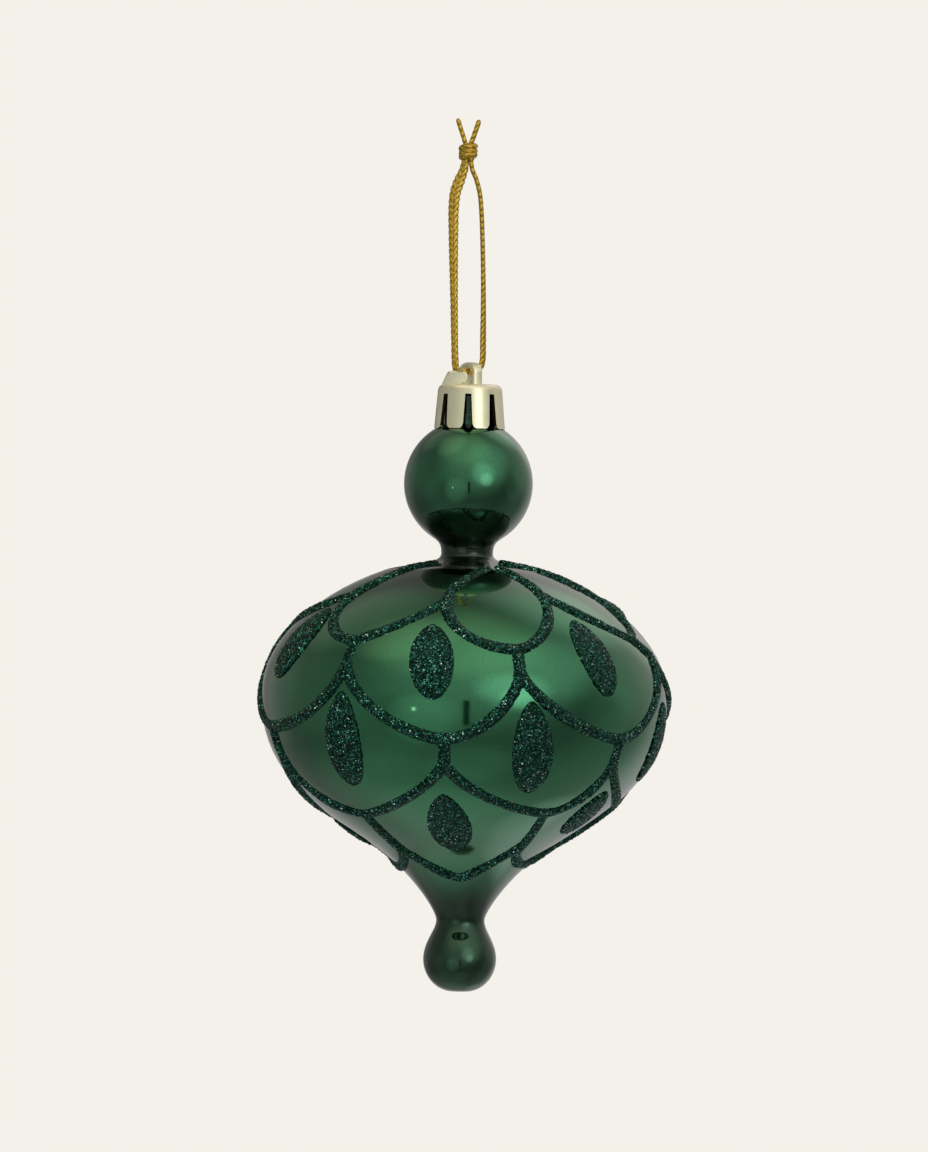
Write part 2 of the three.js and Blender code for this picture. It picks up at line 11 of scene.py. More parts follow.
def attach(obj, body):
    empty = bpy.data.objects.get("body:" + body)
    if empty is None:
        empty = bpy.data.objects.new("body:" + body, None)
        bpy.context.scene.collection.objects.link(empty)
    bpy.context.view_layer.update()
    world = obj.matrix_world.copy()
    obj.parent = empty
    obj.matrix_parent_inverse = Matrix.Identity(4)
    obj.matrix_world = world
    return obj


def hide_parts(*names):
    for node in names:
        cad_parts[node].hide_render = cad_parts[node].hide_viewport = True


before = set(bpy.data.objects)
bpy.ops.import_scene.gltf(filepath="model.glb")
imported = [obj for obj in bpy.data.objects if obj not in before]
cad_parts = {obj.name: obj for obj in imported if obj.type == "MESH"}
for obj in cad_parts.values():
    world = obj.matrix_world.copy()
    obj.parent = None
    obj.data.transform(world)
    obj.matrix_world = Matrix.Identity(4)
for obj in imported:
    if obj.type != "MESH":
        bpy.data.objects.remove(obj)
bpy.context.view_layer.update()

MM = 0.001
rng = random.Random(7)

# Where the shell stands in the row's frame, in millimetres: its axis, and the height of its foot
AXIS_X = 1.25
AXIS_Y = 0.3
FOOT_Z = -161.275
# Heights above the foot: the shell's open rim, the cap's flat top, and the cord where it crosses the bail
RIM_Z = 117.3
CAP_TOP_Z = 119.4
CORD_LOW_Z = 122.075


def placed(x, y, z):
    """A point given in millimetres from the shell's foot, in the row's frame in metres."""
    return Vector((x + AXIS_X, y + AXIS_Y, z + FOOT_Z)) * MM


def turn_about(axis, degrees):
    """A turn about one axis, as a matrix."""
    return Matrix.Rotation(math.radians(degrees), 4, axis)


def deselect():
    if bpy.context.object and bpy.context.object.mode != "OBJECT":
        bpy.ops.object.mode_set(mode="OBJECT")
    bpy.ops.object.select_all(action="DESELECT")


def only(obj):
    """Selects one object alone and makes it active."""
    deselect()
    obj.select_set(True)
    bpy.context.view_layer.objects.active = obj
    return obj


def to_mesh(obj, name):
    only(obj)
    bpy.ops.object.convert(target="MESH")
    mesh = bpy.context.object
    mesh.name = name
    mesh.data.name = name
    return mesh


def applied(obj, kind, **settings):
    """Adds a modifier, sets it and applies it at once."""
    only(obj)
    modifier = obj.modifiers.new(kind.lower(), kind)
    for key, value in settings.items():
        setattr(modifier, key, value)
    bpy.ops.object.modifier_apply(modifier=modifier.name)
    return obj


def settle(obj):
    """Moves an object's place into its mesh, so that it sits at the origin, unturned and unscaled."""
    only(obj)
    bpy.ops.object.transform_apply(location=True, rotation=True, scale=True)
    return obj


def joined(objects, name):
    deselect()
    for obj in objects:
        obj.select_set(True)
    bpy.context.view_layer.objects.active = objects[0]
    if len(objects) > 1:
        bpy.ops.object.join()
    whole = bpy.context.object
    whole.name = name
    whole.data.name = name
    return whole


def smooth(obj, angle=None):
    only(obj)
    if angle is None:
        bpy.ops.object.shade_smooth()
    else:
        bpy.ops.object.shade_smooth_by_angle(angle=math.radians(angle))
    return obj


# Camera

# Level with the shoulder, on a long lens, turned a little so that the axis leans right. Its
# distance and the height of what it sees there are in metres, and its sensor in millimetres
CAMERA_AIM = placed(-0.53, 0, 81.7)
CAMERA_DISTANCE = 0.9
CAMERA_ROLL = 1.06
CAMERA_FAR_END = 20
FRAME_HEIGHT = 0.227
SENSOR = 36

bpy.ops.object.camera_add(location=CAMERA_AIM - Vector((0, CAMERA_DISTANCE, 0)))
camera = bpy.context.object
camera.rotation_euler = (turn_about("Y", -CAMERA_ROLL) @ turn_about("X", 90)).to_euler()
camera.data.sensor_width = SENSOR
camera.data.lens = SENSOR * CAMERA_DISTANCE / FRAME_HEIGHT
camera.data.clip_end = CAMERA_FAR_END
bpy.context.scene.camera = camera


# Materials

# The patterns' real sizes, in millimetres. The lacquer's pearl and the braid's filaments are finer
# on the real one, and are drawn as coarse as they need to show
LACQUER_CLOUD = 22.22
PEARL_GRAIN = 0.4545
SHELL_WAVE = 11.11
GLITTER_FLAKE = 0.2174
CAP_WAVE = 3.846
FILAMENT = 0.3846


def per_metre(size):
    """The scale of a pattern whose marks are of a given size in millimetres."""
    return 1 / (size * MM)


def linear(hex_colour):
    """An sRGB hex colour as linear red, green, blue and alpha."""
    parts = [int(hex_colour[i:i + 2], 16) / 255 for i in (1, 3, 5)]
    return [c / 12.92 if c <= 0.04045 else ((c + 0.055) / 1.055) ** 2.4 for c in parts] + [1]


def node(tree, kind, inputs=None, stops=(), **settings):
    """A node with its settings, its inputs set to values or linked to other nodes' outputs, and a
    colour ramp's stops, each a place from 0 to 1 and a hex colour."""
    made = tree.nodes.new(kind)
    for key, value in settings.items():
        setattr(made, key, value)
    for key, value in (inputs or {}).items():
        if isinstance(value, bpy.types.NodeSocket):
            tree.links.new(value, made.inputs[key])
        else:
            made.inputs[key].default_value = value
    for _ in stops[2:]:
        made.color_ramp.elements.new(0.5)
    for i, (place, colour) in enumerate(stops):
        made.color_ramp.elements[i].position = place
        made.color_ramp.elements[i].color = linear(colour)
    return made


def material(name):
    made = bpy.data.materials.new(name)
    made.use_nodes = True
    made.node_tree.nodes.clear()
    return made, made.node_tree


# How light the lacquer's colour is drawn, from the foot to the rim: darker on the finial and the ball
# than on the wide body, with painted shade in both necks and on the collar under the cap
DARKER_ENDS_AND_PAINTED_SHADE_BY_HEIGHT = [
    (0.0, "#989898"), (0.1, "#8c8c8c"), (0.15, "#6c6c6c"), (0.19, "#d0d0d0"), (0.22, "#f0f0f0"),
    (0.3, "#ffffff"), (0.66, "#ffffff"), (0.69, "#b0b0b0"), (0.735, "#505050"), (0.765, "#808080"),
    (0.8, "#bcbcbc"), (0.86, "#eeeeee"), (0.94, "#eeeeee"), (0.96, "#707070"),
]


def lacquered_plastic():
    # Moulded plastic, vacuum metallised and sprayed with green lacquer: a tinted mirror under a
    # clear gloss, with faint clouds, a fine pearly grain and slight waves of the moulding
    made, tree = material("green_lacquer_on_metallised_plastic")
    place = node(tree, "ShaderNodeTexCoord").outputs["Object"]
    centred = node(tree, "ShaderNodeMapping", {
        "Vector": place,
        "Location": (-AXIS_X * MM, -AXIS_Y * MM, 0),
    }).outputs["Vector"]
    cloud = node(tree, "ShaderNodeTexNoise", {
        "Vector": centred, "Scale": per_metre(LACQUER_CLOUD), "Detail": 3, "Roughness": 0.55,
    }).outputs["Fac"]
    grain = node(tree, "ShaderNodeTexNoise", {
        "Vector": centred, "Scale": per_metre(PEARL_GRAIN), "Detail": 2, "Roughness": 0.6,
    }).outputs["Fac"]
    tint = node(tree, "ShaderNodeValToRGB", {"Fac": cloud}, [
        (0.3, "#25734d"), (0.55, "#2a7b53"), (0.75, "#308359"),
    ]).outputs["Color"]
    height = node(tree, "ShaderNodeSeparateXYZ", {"Vector": centred}).outputs["Z"]
    share = node(tree, "ShaderNodeMapRange", {
        "Value": height, "From Min": FOOT_Z * MM, "From Max": (FOOT_Z + RIM_Z) * MM,
    }).outputs["Result"]
    # Darker ends, and painted shade in the necks and on the collar under the cap
    darker_ends_and_painted_shade = node(tree, "ShaderNodeValToRGB", {"Fac": share}, DARKER_ENDS_AND_PAINTED_SHADE_BY_HEIGHT).outputs["Color"]
    pearl = node(tree, "ShaderNodeValToRGB", {"Fac": grain}, [
        (0.35, "#164c2c"), (0.65, "#459a68"),
    ]).outputs["Color"]
    grainy = node(tree, "ShaderNodeMix", {
        "Factor": 0.12, "A": tint, "B": pearl,
    }, data_type="RGBA", blend_type="MIX")
    tint_with_painted_shade = node(tree, "ShaderNodeMix", {
        "Factor": 1.0, "A": grainy.outputs["Result"], "B": darker_ends_and_painted_shade,
    }, data_type="RGBA", blend_type="MULTIPLY")
    wave = node(tree, "ShaderNodeTexNoise", {
        "Vector": centred, "Scale": per_metre(SHELL_WAVE), "Detail": 2,
    }).outputs["Fac"]
    waved = node(tree, "ShaderNodeBump", {"Height": wave, "Strength": 0.06, "Distance": 0.4 * MM})
    peel = node(tree, "ShaderNodeBump", {
        "Height": grain, "Strength": 0.05, "Distance": 0.05 * MM, "Normal": waved.outputs["Normal"],
    })
    roughness = node(tree, "ShaderNodeMapRange", {
        "Value": cloud, "From Min": 0.3, "From Max": 0.7, "To Min": 0.07, "To Max": 0.1,
    })
    shader = node(tree, "ShaderNodeBsdfPrincipled", {
        "Base Color": tint_with_painted_shade.outputs["Result"],
        "Metallic": 1.0,
        "Roughness": roughness.outputs["Result"],
        "Coat Weight": 1.0,
        "Coat Roughness": 0.03,
        "Coat IOR": 1.5,
        "Normal": peel.outputs["Normal"],
        "Coat Normal": waved.outputs["Normal"],
    })
    node(tree, "ShaderNodeOutputMaterial", {"Surface": shader.outputs[0]})
    return made


def glitter_on_glue():
    # Dark emerald glitter strewn on lines of clear glue: each flake is a small tilted mirror, so
    # that few flash at a time and most stay dark
    made, tree = material("emerald_glitter_on_clear_glue")
    place = node(tree, "ShaderNodeTexCoord").outputs["Object"]
    flakes = node(tree, "ShaderNodeTexVoronoi", {
        "Vector": place, "Scale": per_metre(GLITTER_FLAKE), "Randomness": 1,
    }, voronoi_dimensions="3D", feature="F1")
    normal = node(tree, "ShaderNodeNewGeometry").outputs["Normal"]
    spread = node(tree, "ShaderNodeVectorMath", {
        0: flakes.outputs["Color"], 1: (0.5, 0.5, 0.5),
    }, operation="SUBTRACT")
    tilt = node(tree, "ShaderNodeVectorMath", {0: spread.outputs[0], "Scale": 1.5}, operation="SCALE")
    tilted = node(tree, "ShaderNodeVectorMath", {0: normal, 1: tilt.outputs[0]}, operation="ADD")
    unit = node(tree, "ShaderNodeVectorMath", {0: tilted.outputs[0]}, operation="NORMALIZE")
    parts = node(tree, "ShaderNodeSeparateColor", {"Color": flakes.outputs["Color"]})
    tint = node(tree, "ShaderNodeValToRGB", {"Fac": parts.outputs["Red"]}, [
        (0.0, "#0d2a22"), (0.42, "#153c32"), (0.68, "#215a4c"), (0.85, "#38897a"), (0.94, "#78c4b2"),
        (0.988, "#dff5ee"),
    ])
    tint.color_ramp.interpolation = "CONSTANT"
    shader = node(tree, "ShaderNodeBsdfPrincipled", {
        "Base Color": tint.outputs["Color"],
        "Metallic": 0.85,
        "Roughness": 0.28,
        "Normal": unit.outputs[0],
    })
    node(tree, "ShaderNodeOutputMaterial", {"Surface": shader.outputs[0]})
    return made


def metallised_champagne():
    # Injection moulded plastic, metallised and lacquered pale champagne: a satin mirror with the
    # moulding's slight waves under a clear gloss. The inner walls and the slots' walls are painted
    # a dark, dull yellow: painted shade
    made, tree = material("champagne_metallised_plastic")
    place = node(tree, "ShaderNodeTexCoord").outputs["Object"]
    wave = node(tree, "ShaderNodeTexNoise", {
        "Vector": place, "Scale": per_metre(CAP_WAVE), "Detail": 1,
    }).outputs["Fac"]
    waved = node(tree, "ShaderNodeBump", {"Height": wave, "Strength": 0.1, "Distance": 0.3 * MM})
    tint = node(tree, "ShaderNodeValToRGB", {"Fac": wave}, [
        (0.3, "#f8f0cc"), (0.7, "#fff8dc"),
    ]).outputs["Color"]
    inner = node(tree, "ShaderNodeAttribute", attribute_name="painted_shade_inside").outputs["Fac"]
    # Painted shade: the inside and the slots' walls are mixed to a dark, dull yellow
    with_painted_shade = node(tree, "ShaderNodeMix", {
        "Factor": inner, "A": tint, "B": linear("#54431f"),
    }, data_type="RGBA", blend_type="MIX")
    roughness = node(tree, "ShaderNodeMapRange", {
        "Value": wave, "From Min": 0.3, "From Max": 0.7, "To Min": 0.2, "To Max": 0.26,
    })
    shader = node(tree, "ShaderNodeBsdfPrincipled", {
        "Base Color": with_painted_shade.outputs["Result"],
        "Metallic": 0.6,
        "Roughness": roughness.outputs["Result"],
        "Coat Weight": 0.6,
        "Coat Roughness": 0.06,
        "Normal": waved.outputs["Normal"],
    })
    node(tree, "ShaderNodeOutputMaterial", {"Surface": shader.outputs[0]})
    return made


def gold_braid():
    # Braid of slit metallised film: gold, with painted shade dark brown in the gaps between the strands,
    # painted light bright on top of each strand, and uneven from filament to filament
    made, tree = material("gold_metallised_film_braid")
    height = node(tree, "ShaderNodeAttribute", attribute_name="strand_height").outputs["Fac"]
    place = node(tree, "ShaderNodeTexCoord").outputs["Object"]
    filament = node(tree, "ShaderNodeTexNoise", {
        "Vector": place, "Scale": per_metre(FILAMENT), "Detail": 2, "Roughness": 0.6,
    }).outputs["Fac"]
    # Painted shade in the gaps and painted light on the strands' tops, by the strands' height
    lit = node(tree, "ShaderNodeValToRGB", {"Fac": height}, [
        (0.12, "#231501"), (0.45, "#85570c"), (0.72, "#cc981c"), (1.0, "#f2c838"),
    ]).outputs["Color"]
    film = node(tree, "ShaderNodeValToRGB", {"Fac": filament}, [
        (0.35, "#6b4a0e"), (0.62, "#f0d57a"),
    ]).outputs["Color"]
    uneven = node(tree, "ShaderNodeMix", {
        "Factor": 0.35, "A": lit, "B": film,
    }, data_type="RGBA", blend_type="MIX")
    bump = node(tree, "ShaderNodeBump", {"Height": filament, "Strength": 0.5, "Distance": 0.06 * MM})
    shader = node(tree, "ShaderNodeBsdfPrincipled", {
        "Base Color": uneven.outputs["Result"],
        "Metallic": 0.75,
        "Roughness": 0.36,
        "Normal": bump.outputs["Normal"],
    })
    node(tree, "ShaderNodeOutputMaterial", {"Surface": shader.outputs[0]})
    return made


LACQUER = lacquered_plastic()
GLITTER = glitter_on_glue()
CHAMPAGNE = metallised_champagne()
BRAID = gold_braid()


def finished(obj, finish, slot, body, *nodes):
    """Gives a piece its material, and says what it rides on and stands for. The slot is not used."""
    obj.data.materials.clear()
    obj.data.materials.append(finish)
    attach(obj, body)
    if nodes:
        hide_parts(*nodes)
    return obj


# Cord

# The route of the doubled braid, as x, y and height above where it crosses the bail
LOOP_ROUTE = [
    (-1.7, -0.3, 42.3), (-2.05, -0.34, 39.7), (-2.85, -0.5, 37.5), (-3.6, -0.7, 35.2),
    (-3.9, -0.85, 32), (-3.85, -1.05, 27), (-3.7, -1.2, 21), (-3.5, -1.35, 14.5),
    (-3.3, -1.46, 8), (-3.14, -1.51, 3.6), (-3.05, -1.49, 1.9), (-2.92, -1.42, 0.7),
    (-2.55, -1.24, -0.12), (-1.9, -0.92, -0.42), (-1, -0.49, -0.25), (0, 0, 0), (0.7, 0.34, 0.07),
    (1.45, 0.7, 0.4), (2.1, 1.02, 1.2), (2.36, 1.15, 2.4), (2.37, 1.19, 6),
    (2.32, 1.15, 12), (2.17, 1, 19), (1.9, 0.8, 25.8), (1.62, 0.55, 31),
    (1.2, 0.25, 35), (0.45, -0.05, 37.8), (-0.4, -0.26, 39.8), (-0.75, -0.3, 42.3),
]
# The braid's section, and the pitch in which so many strands follow each other on each face. The
# strands' relief is a share of the section, they lean by a share of their own spacing, and they
# meet in a groove down the middle of each face
BRAID_WIDTH = 1.35
BRAID_THICKNESS = 0.85
BRAID_PITCH = 4.9
BRAID_STRANDS = 4
BRAID_RELIEF = 0.13
STRAND_LEAN = 0.85
GROOVE_HALF = 0.25
GROOVE_DEPTH = 0.35
SEALED_END = 0.7
RING_STEP = 0.13
RING_SIDES = 24
SPAN_STEPS = 24


def curve_through(points, step):
    """Points a step apart along a smooth curve through the given ones."""
    spans = []
    ends = [2 * points[0] - points[1]] + points + [2 * points[-1] - points[-2]]
    for a, b, c, d in zip(ends, ends[1:], ends[2:], ends[3:]):
        knots = [0]
        for p, q in ((a, b), (b, c), (c, d)):
            knots.append(knots[-1] + max((q - p).length, 1e-9) ** 0.5)
        t0, t1, t2, t3 = knots
        for i in range(SPAN_STEPS):
            t = t1 + (t2 - t1) * i / SPAN_STEPS
            ab = a.lerp(b, (t - t0) / (t1 - t0))
            bc = b.lerp(c, (t - t1) / (t2 - t1))
            cd = c.lerp(d, (t - t2) / (t3 - t2))
            before = ab.lerp(bc, (t - t0) / (t2 - t0))
            after = bc.lerp(cd, (t - t1) / (t3 - t1))
            spans.append(before.lerp(after, (t - t1) / (t2 - t1)))
    spans.append(points[-1])
    lengths = [0]
    for p, q in zip(spans, spans[1:]):
        lengths.append(lengths[-1] + (q - p).length)
    count = max(2, round(lengths[-1] / step))
    even = []
    at = 0
    for i in range(count + 1):
        goal = lengths[-1] * i / count
        while at < len(spans) - 2 and lengths[at + 1] < goal:
            at += 1
        share = (goal - lengths[at]) / max(lengths[at + 1] - lengths[at], 1e-12)
        even.append(spans[at].lerp(spans[at + 1], min(share, 1)))
    return even, lengths[-1]


def strand_height(around, along):
    """How high the braid stands, from 0 in a gap to 1 on top of a strand. Around is in turns and
    along in pitches: on both faces the strands run from the edges to the middle and interlock."""
    across = math.cos(around * math.tau)
    place = BRAID_STRANDS * along + STRAND_LEAN * abs(across) + (0.5 if across > 0 else 0)
    share = place - math.floor(place) - 0.5
    groove = GROOVE_DEPTH * max(0, 1 - abs(across) / GROOVE_HALF)
    return max(0.0, 1 - (2 * share) ** 2) ** 0.5 * (1 - groove)


def braid(name, points, width=lambda share: 1.0, turn=lambda share: 0.0):
    """A braided cord along the points: rings whose radius follows the strands, closed at the ends."""
    route, length = curve_through(points, RING_STEP)
    mesh = bpy.data.meshes.new(name)
    shape = bmesh.new()
    # The strands' height is kept for the material, which paints shade in the gaps and light on the tops
    strand = shape.verts.layers.float.new("strand_height")
    side = Vector((1, 0, 0))
    rings = []
    for i, place in enumerate(route):
        ahead = (route[min(i + 1, len(route) - 1)] - route[max(i - 1, 0)]).normalized()
        side = (side - ahead * side.dot(ahead)).normalized()
        up = ahead.cross(side)
        share = i / (len(route) - 1)
        angle = math.radians(turn(share))
        wide = side * math.cos(angle) + up * math.sin(angle)
        thick = ahead.cross(wide)
        half_width = BRAID_WIDTH / 2 * width(share)
        half_thick = BRAID_THICKNESS / 2
        # The cut ends are heat sealed, a little narrower than the braid
        end = min(1, (min(i, len(route) - 1 - i) * RING_STEP + SEALED_END / 2) / SEALED_END)
        ring = []
        for k in range(RING_SIDES):
            around = k / RING_SIDES
            high = strand_height(around, i * RING_STEP / BRAID_PITCH)
            grow = (1 + BRAID_RELIEF * (2 * high - 1)) * end
            spot = place
            spot = spot + wide * math.cos(around * math.tau) * half_width * grow
            spot = spot + thick * math.sin(around * math.tau) * half_thick * grow
            vert = shape.verts.new(placed(*spot))
            vert[strand] = high
            ring.append(vert)
        rings.append(ring)
    for ring, following in zip(rings, rings[1:]):
        for k in range(RING_SIDES):
            j = (k + 1) % RING_SIDES
            shape.faces.new((ring[k], ring[j], following[j], following[k]))
    shape.faces.new(list(reversed(rings[0])))
    shape.faces.new(rings[-1])
    bmesh.ops.recalc_face_normals(shape, faces=shape.faces)
    shape.to_mesh(mesh)
    shape.free()
    obj = bpy.data.objects.new(name, mesh)
    bpy.context.collection.objects.link(obj)
    smooth(obj)
    return obj, route, length


# The loop's width as shares of the braid's, at shares of its length: it lies flat and wide
# towards the top of the left strand, and spreads a little where it leaves the bail on the right
LOOP_WIDTH = 0.83
LEFT_SPREAD = 0.8
LEFT_WIDEST = 0.06
LEFT_END = 0.42
RIGHT_SPREAD = 0.27
RIGHT_WIDEST = 0.62
RIGHT_REACH = 0.3
# Its flat side faces forward on the left. On the right it turns away from the front on its way up
RIGHT_TURN = 38
TURN_START = 0.6
TURN_LENGTH = 0.2


def loop_width(share):
    left = LEFT_SPREAD * max(0, 1 - share / LEFT_END) * min(1, share / LEFT_WIDEST)
    right = RIGHT_SPREAD * max(0, 1 - abs(share - RIGHT_WIDEST) / RIGHT_REACH)
    return LOOP_WIDTH + left + right


def loop_turn(share):
    return RIGHT_TURN * min(1, max(0, (share - TURN_START) / TURN_LENGTH))


loop_points = [Vector((x, y, CORD_LOW_Z + up)) for x, y, up in LOOP_ROUTE]
loop, loop_route, loop_length = braid("braid_loop", loop_points, loop_width, loop_turn)


# Knot

# One strand wound three times round both and pulled tight, with both cut ends free. Its points
# are given from the knot's place
KNOT_PLACE = Vector((-1.25, -0.3, CORD_LOW_Z + 41.2))
KNOT_TURNS = 3
KNOT_HELIX_R = 1.4
KNOT_PITCH = 0.9184
KNOT_FOOT = 0.6
KNOT_START = 60
KNOT_STEPS = 10
KNOT_WIDTH = 0.8
KNOT_ON_EDGE = 90
STRAND_INTO_KNOT = [(-0.62, 0, 0.1), (-0.45, 0.2, 1.6), (-0.1, 0.9, 3.1)]
STRAND_OUT_OF_KNOT = [(0.75, 0.2, 1.7), (0.4, 0, 3.2), (0.9, 0, 4.6), (2.1, 0.1, 8.3)]
STRAND_THROUGH_KNOT = [
    (0.62, 0, 0.1), (0.3, -0.1, 1.5), (-0.4, -0.1, 3.1),
    (-0.95, 0, 4.8), (-1.5, 0.05, 6.4), (-2.2, 0, 8.5),
]


def knot_turns():
    """The wound strand's helix, from the knot's top down to its foot."""
    turns = []
    steps = KNOT_STEPS * KNOT_TURNS
    for i in range(steps + 1):
        angle = math.radians(KNOT_START) - math.tau * i / KNOT_STEPS
        height = KNOT_FOOT + KNOT_PITCH * KNOT_TURNS * (1 - i / steps)
        turns.append((KNOT_HELIX_R * math.cos(angle), KNOT_HELIX_R * math.sin(angle), height))
    return turns


def knot_strand(name, points):
    spots = [KNOT_PLACE + Vector(point) for point in points]
    strand, _, _ = braid(name, spots, lambda share: KNOT_WIDTH, lambda share: KNOT_ON_EDGE)
    return strand


knot_wound = knot_strand("knot_wound", STRAND_INTO_KNOT + knot_turns() + STRAND_OUT_OF_KNOT)
knot_straight = knot_strand("knot_straight", STRAND_THROUGH_KNOT)
knot = joined([knot_wound, knot_straight], "knot")
finished(knot, BRAID, "cord_gold", "loop", "cord_knot")
finished(loop, BRAID, "cord_gold", "loop", "cord_loop")


# Shell

# Its outline as stations, each a radius and a height above the foot, joined by Bezier arcs that
# are given as four points, with their handles at shares of the way between the stations
BALL_R = 12.7
BALL_Z = 99.9
BLEND_R = 7
COLLAR_R = 5.2
COLLAR_HEIGHT = 2.1
TUBE_R = 4.6
NECK_EDGE = 0.3
COLLAR_EDGE_MIDDLE = (0.1, 0.08)
SHELL_WALL = 1
SHELL_STEPS = 144
SHELL_ARC_STEPS = 14
SHARP_ANGLE = 40
# Points that a spin or a curve leaves closer than this are one
SEAM_GAP = 0.01
CURVE_GAP = 0.002

foot = (2.5, 0)
finial_side = (7.2, 6.2)
lower_neck = (4.75, 13.9)
flank = (18.3, 29)
body_side = (40, 58)
shoulder = (16, 82.7)
upper_neck = (5.1, 86)
ball_blend = (BLEND_R, BALL_Z - math.sqrt(BALL_R ** 2 - BLEND_R ** 2))
collar_foot = (COLLAR_R, BALL_Z + math.sqrt(BALL_R ** 2 - COLLAR_R ** 2))
flank_slope = 0.62
shoulder_slope = 0.36
blend_slope = BLEND_R / (BALL_Z - ball_blend[1])


def between(a, b, share):
    return a + (b - a) * share


def ball_arcs():
    """The ball's side as two arcs that meet at its widest."""
    arcs = []
    start = -math.acos(BLEND_R / BALL_R)
    end = math.acos(COLLAR_R / BALL_R)
    for a, b in ((start, 0), (0, end)):
        reach = 4 / 3 * math.tan((b - a) / 4) * BALL_R
        p = (BALL_R * math.cos(a), BALL_Z + BALL_R * math.sin(a))
        q = (BALL_R * math.cos(b), BALL_Z + BALL_R * math.sin(b))
        arcs.append((
            p, (p[0] - reach * math.sin(a), p[1] + reach * math.cos(a)),
            (q[0] + reach * math.sin(b), q[1] - reach * math.cos(b)), q,
        ))
    return arcs


belly_run = body_side[0] - flank[0]
top_run = body_side[0] - shoulder[0]
flare_run = flank[0] - lower_neck[0]
neck_run = shoulder[0] - upper_neck[0]
blend_run = ball_blend[0] - upper_neck[0]
FINIAL_ARCS = [
    (foot, (between(foot[0], finial_side[0], 0.6), 0.1 * finial_side[1]),
     (finial_side[0], 0.54 * finial_side[1]), finial_side),
    (finial_side, (finial_side[0], between(finial_side[1], lower_neck[1], 0.45)),
     (lower_neck[0], between(lower_neck[1], finial_side[1], 0.27)), lower_neck),
]
BODY_ARCS = [
    (lower_neck, (lower_neck[0], between(lower_neck[1], flank[1], 0.12)),
     (flank[0] - 0.59 * flare_run, flank[1] - 0.59 * flare_run * flank_slope), flank),
    (flank, (flank[0] + 0.715 * belly_run, flank[1] + 0.715 * belly_run * flank_slope),
     (body_side[0], between(body_side[1], flank[1], 0.43)), body_side),
    (body_side, (body_side[0], between(body_side[1], shoulder[1], 0.41)),
     (shoulder[0] + 0.583 * top_run, shoulder[1] - 0.583 * top_run * shoulder_slope), shoulder),
    (shoulder, (shoulder[0] - 0.3 * neck_run, shoulder[1] + 0.3 * neck_run * shoulder_slope),
     (upper_neck[0], between(shoulder[1], upper_neck[1], 0.35)), upper_neck),
]
BALL_ARCS = [
    (upper_neck, (upper_neck[0], between(upper_neck[1], ball_blend[1], 0.6)),
     (upper_neck[0] + 0.3 * blend_run, ball_blend[1] - 0.7 * blend_run * blend_slope), ball_blend),
] + ball_arcs()


def path_arcs(start, moves):
    """Arcs from straight and curved moves: two numbers go straight, six curve."""
    arcs = []
    here = start
    for move in moves:
        there = tuple(move[-2:])
        handles = (tuple(move[:2]), tuple(move[2:4])) if len(move) == 6 else (here, there)
        arcs.append((here, *handles, there))
        here = there
    return arcs


def free_handles(point, spot, before, after):
    """Places a Bezier point and its two handles."""
    point.handle_left_type = "FREE"
    point.handle_right_type = "FREE"
    point.co = spot
    point.handle_left = before
    point.handle_right = after


def merged(obj, distance):
    """Merges the points of a mesh that lie closer than a distance, and turns its faces outwards."""
    only(obj)
    bpy.ops.object.mode_set(mode="EDIT")
    bpy.ops.mesh.select_all(action="SELECT")
    bpy.ops.mesh.remove_doubles(threshold=distance * MM)
    bpy.ops.mesh.normals_make_consistent(inside=False)
    bpy.ops.object.mode_set(mode="OBJECT")
    return obj


def drawn_outline(name, arcs, resolution):
    """Draws joined Bezier arcs, given as radius and height, in the plane of the axis."""
    bpy.ops.curve.primitive_bezier_curve_add(location=(0, 0, 0))
    curve = bpy.context.object
    curve.name = name
    curve.data.resolution_u = resolution
    spline = curve.data.splines[0]
    spline.bezier_points.add(len(arcs) + 1 - len(spline.bezier_points))
    spots = [arcs[0][0]] + [arc[3] for arc in arcs]
    for i, (point, spot) in enumerate(zip(spline.bezier_points, spots)):
        before = arcs[i - 1][2] if i > 0 else spot
        after = arcs[i][1] if i < len(arcs) else spot
        free_handles(point, *(placed(r, 0, z) for r, z in (spot, before, after)))
    return to_mesh(curve, name)


def spun(obj, steps):
    """Spins a drawn outline once round the shell's axis and closes its seam."""
    only(obj)
    bpy.ops.object.mode_set(mode="EDIT")
    bpy.ops.mesh.select_all(action="SELECT")
    bpy.ops.mesh.spin(steps=steps, angle=math.tau, center=placed(0, 0, 0), axis=(0, 0, 1))
    bpy.ops.object.mode_set(mode="OBJECT")
    return merged(obj, SEAM_GAP)


def shell():
    collar_top = collar_foot[1] + COLLAR_HEIGHT
    neck = path_arcs(collar_foot, [
        (COLLAR_R, collar_top - NECK_EDGE),
        (COLLAR_R - COLLAR_EDGE_MIDDLE[0], collar_top - COLLAR_EDGE_MIDDLE[1]),
        (COLLAR_R - NECK_EDGE, collar_top),
        (TUBE_R, collar_top),
        (TUBE_R, RIM_Z - NECK_EDGE),
        (TUBE_R - NECK_EDGE, RIM_Z),
    ])
    arcs = path_arcs((0, 0), [foot]) + FINIAL_ARCS + BODY_ARCS + BALL_ARCS + neck
    made = spun(drawn_outline("lacquered_shell", arcs, SHELL_ARC_STEPS), SHELL_STEPS)
    applied(made, "SOLIDIFY", thickness=SHELL_WALL * MM, offset=-1)
    return smooth(made, SHARP_ANGLE)


lacquered_shell = shell()
finished(lacquered_shell, LACQUER, "shell_green", "shell", "shell")


# Glitter

# The scallops and leaves are laid on the body's side between its necks. Share 0 is the upper
# neck and share 1 the lower one, and azimuth 0 is the front
SIDE_STEPS = 60


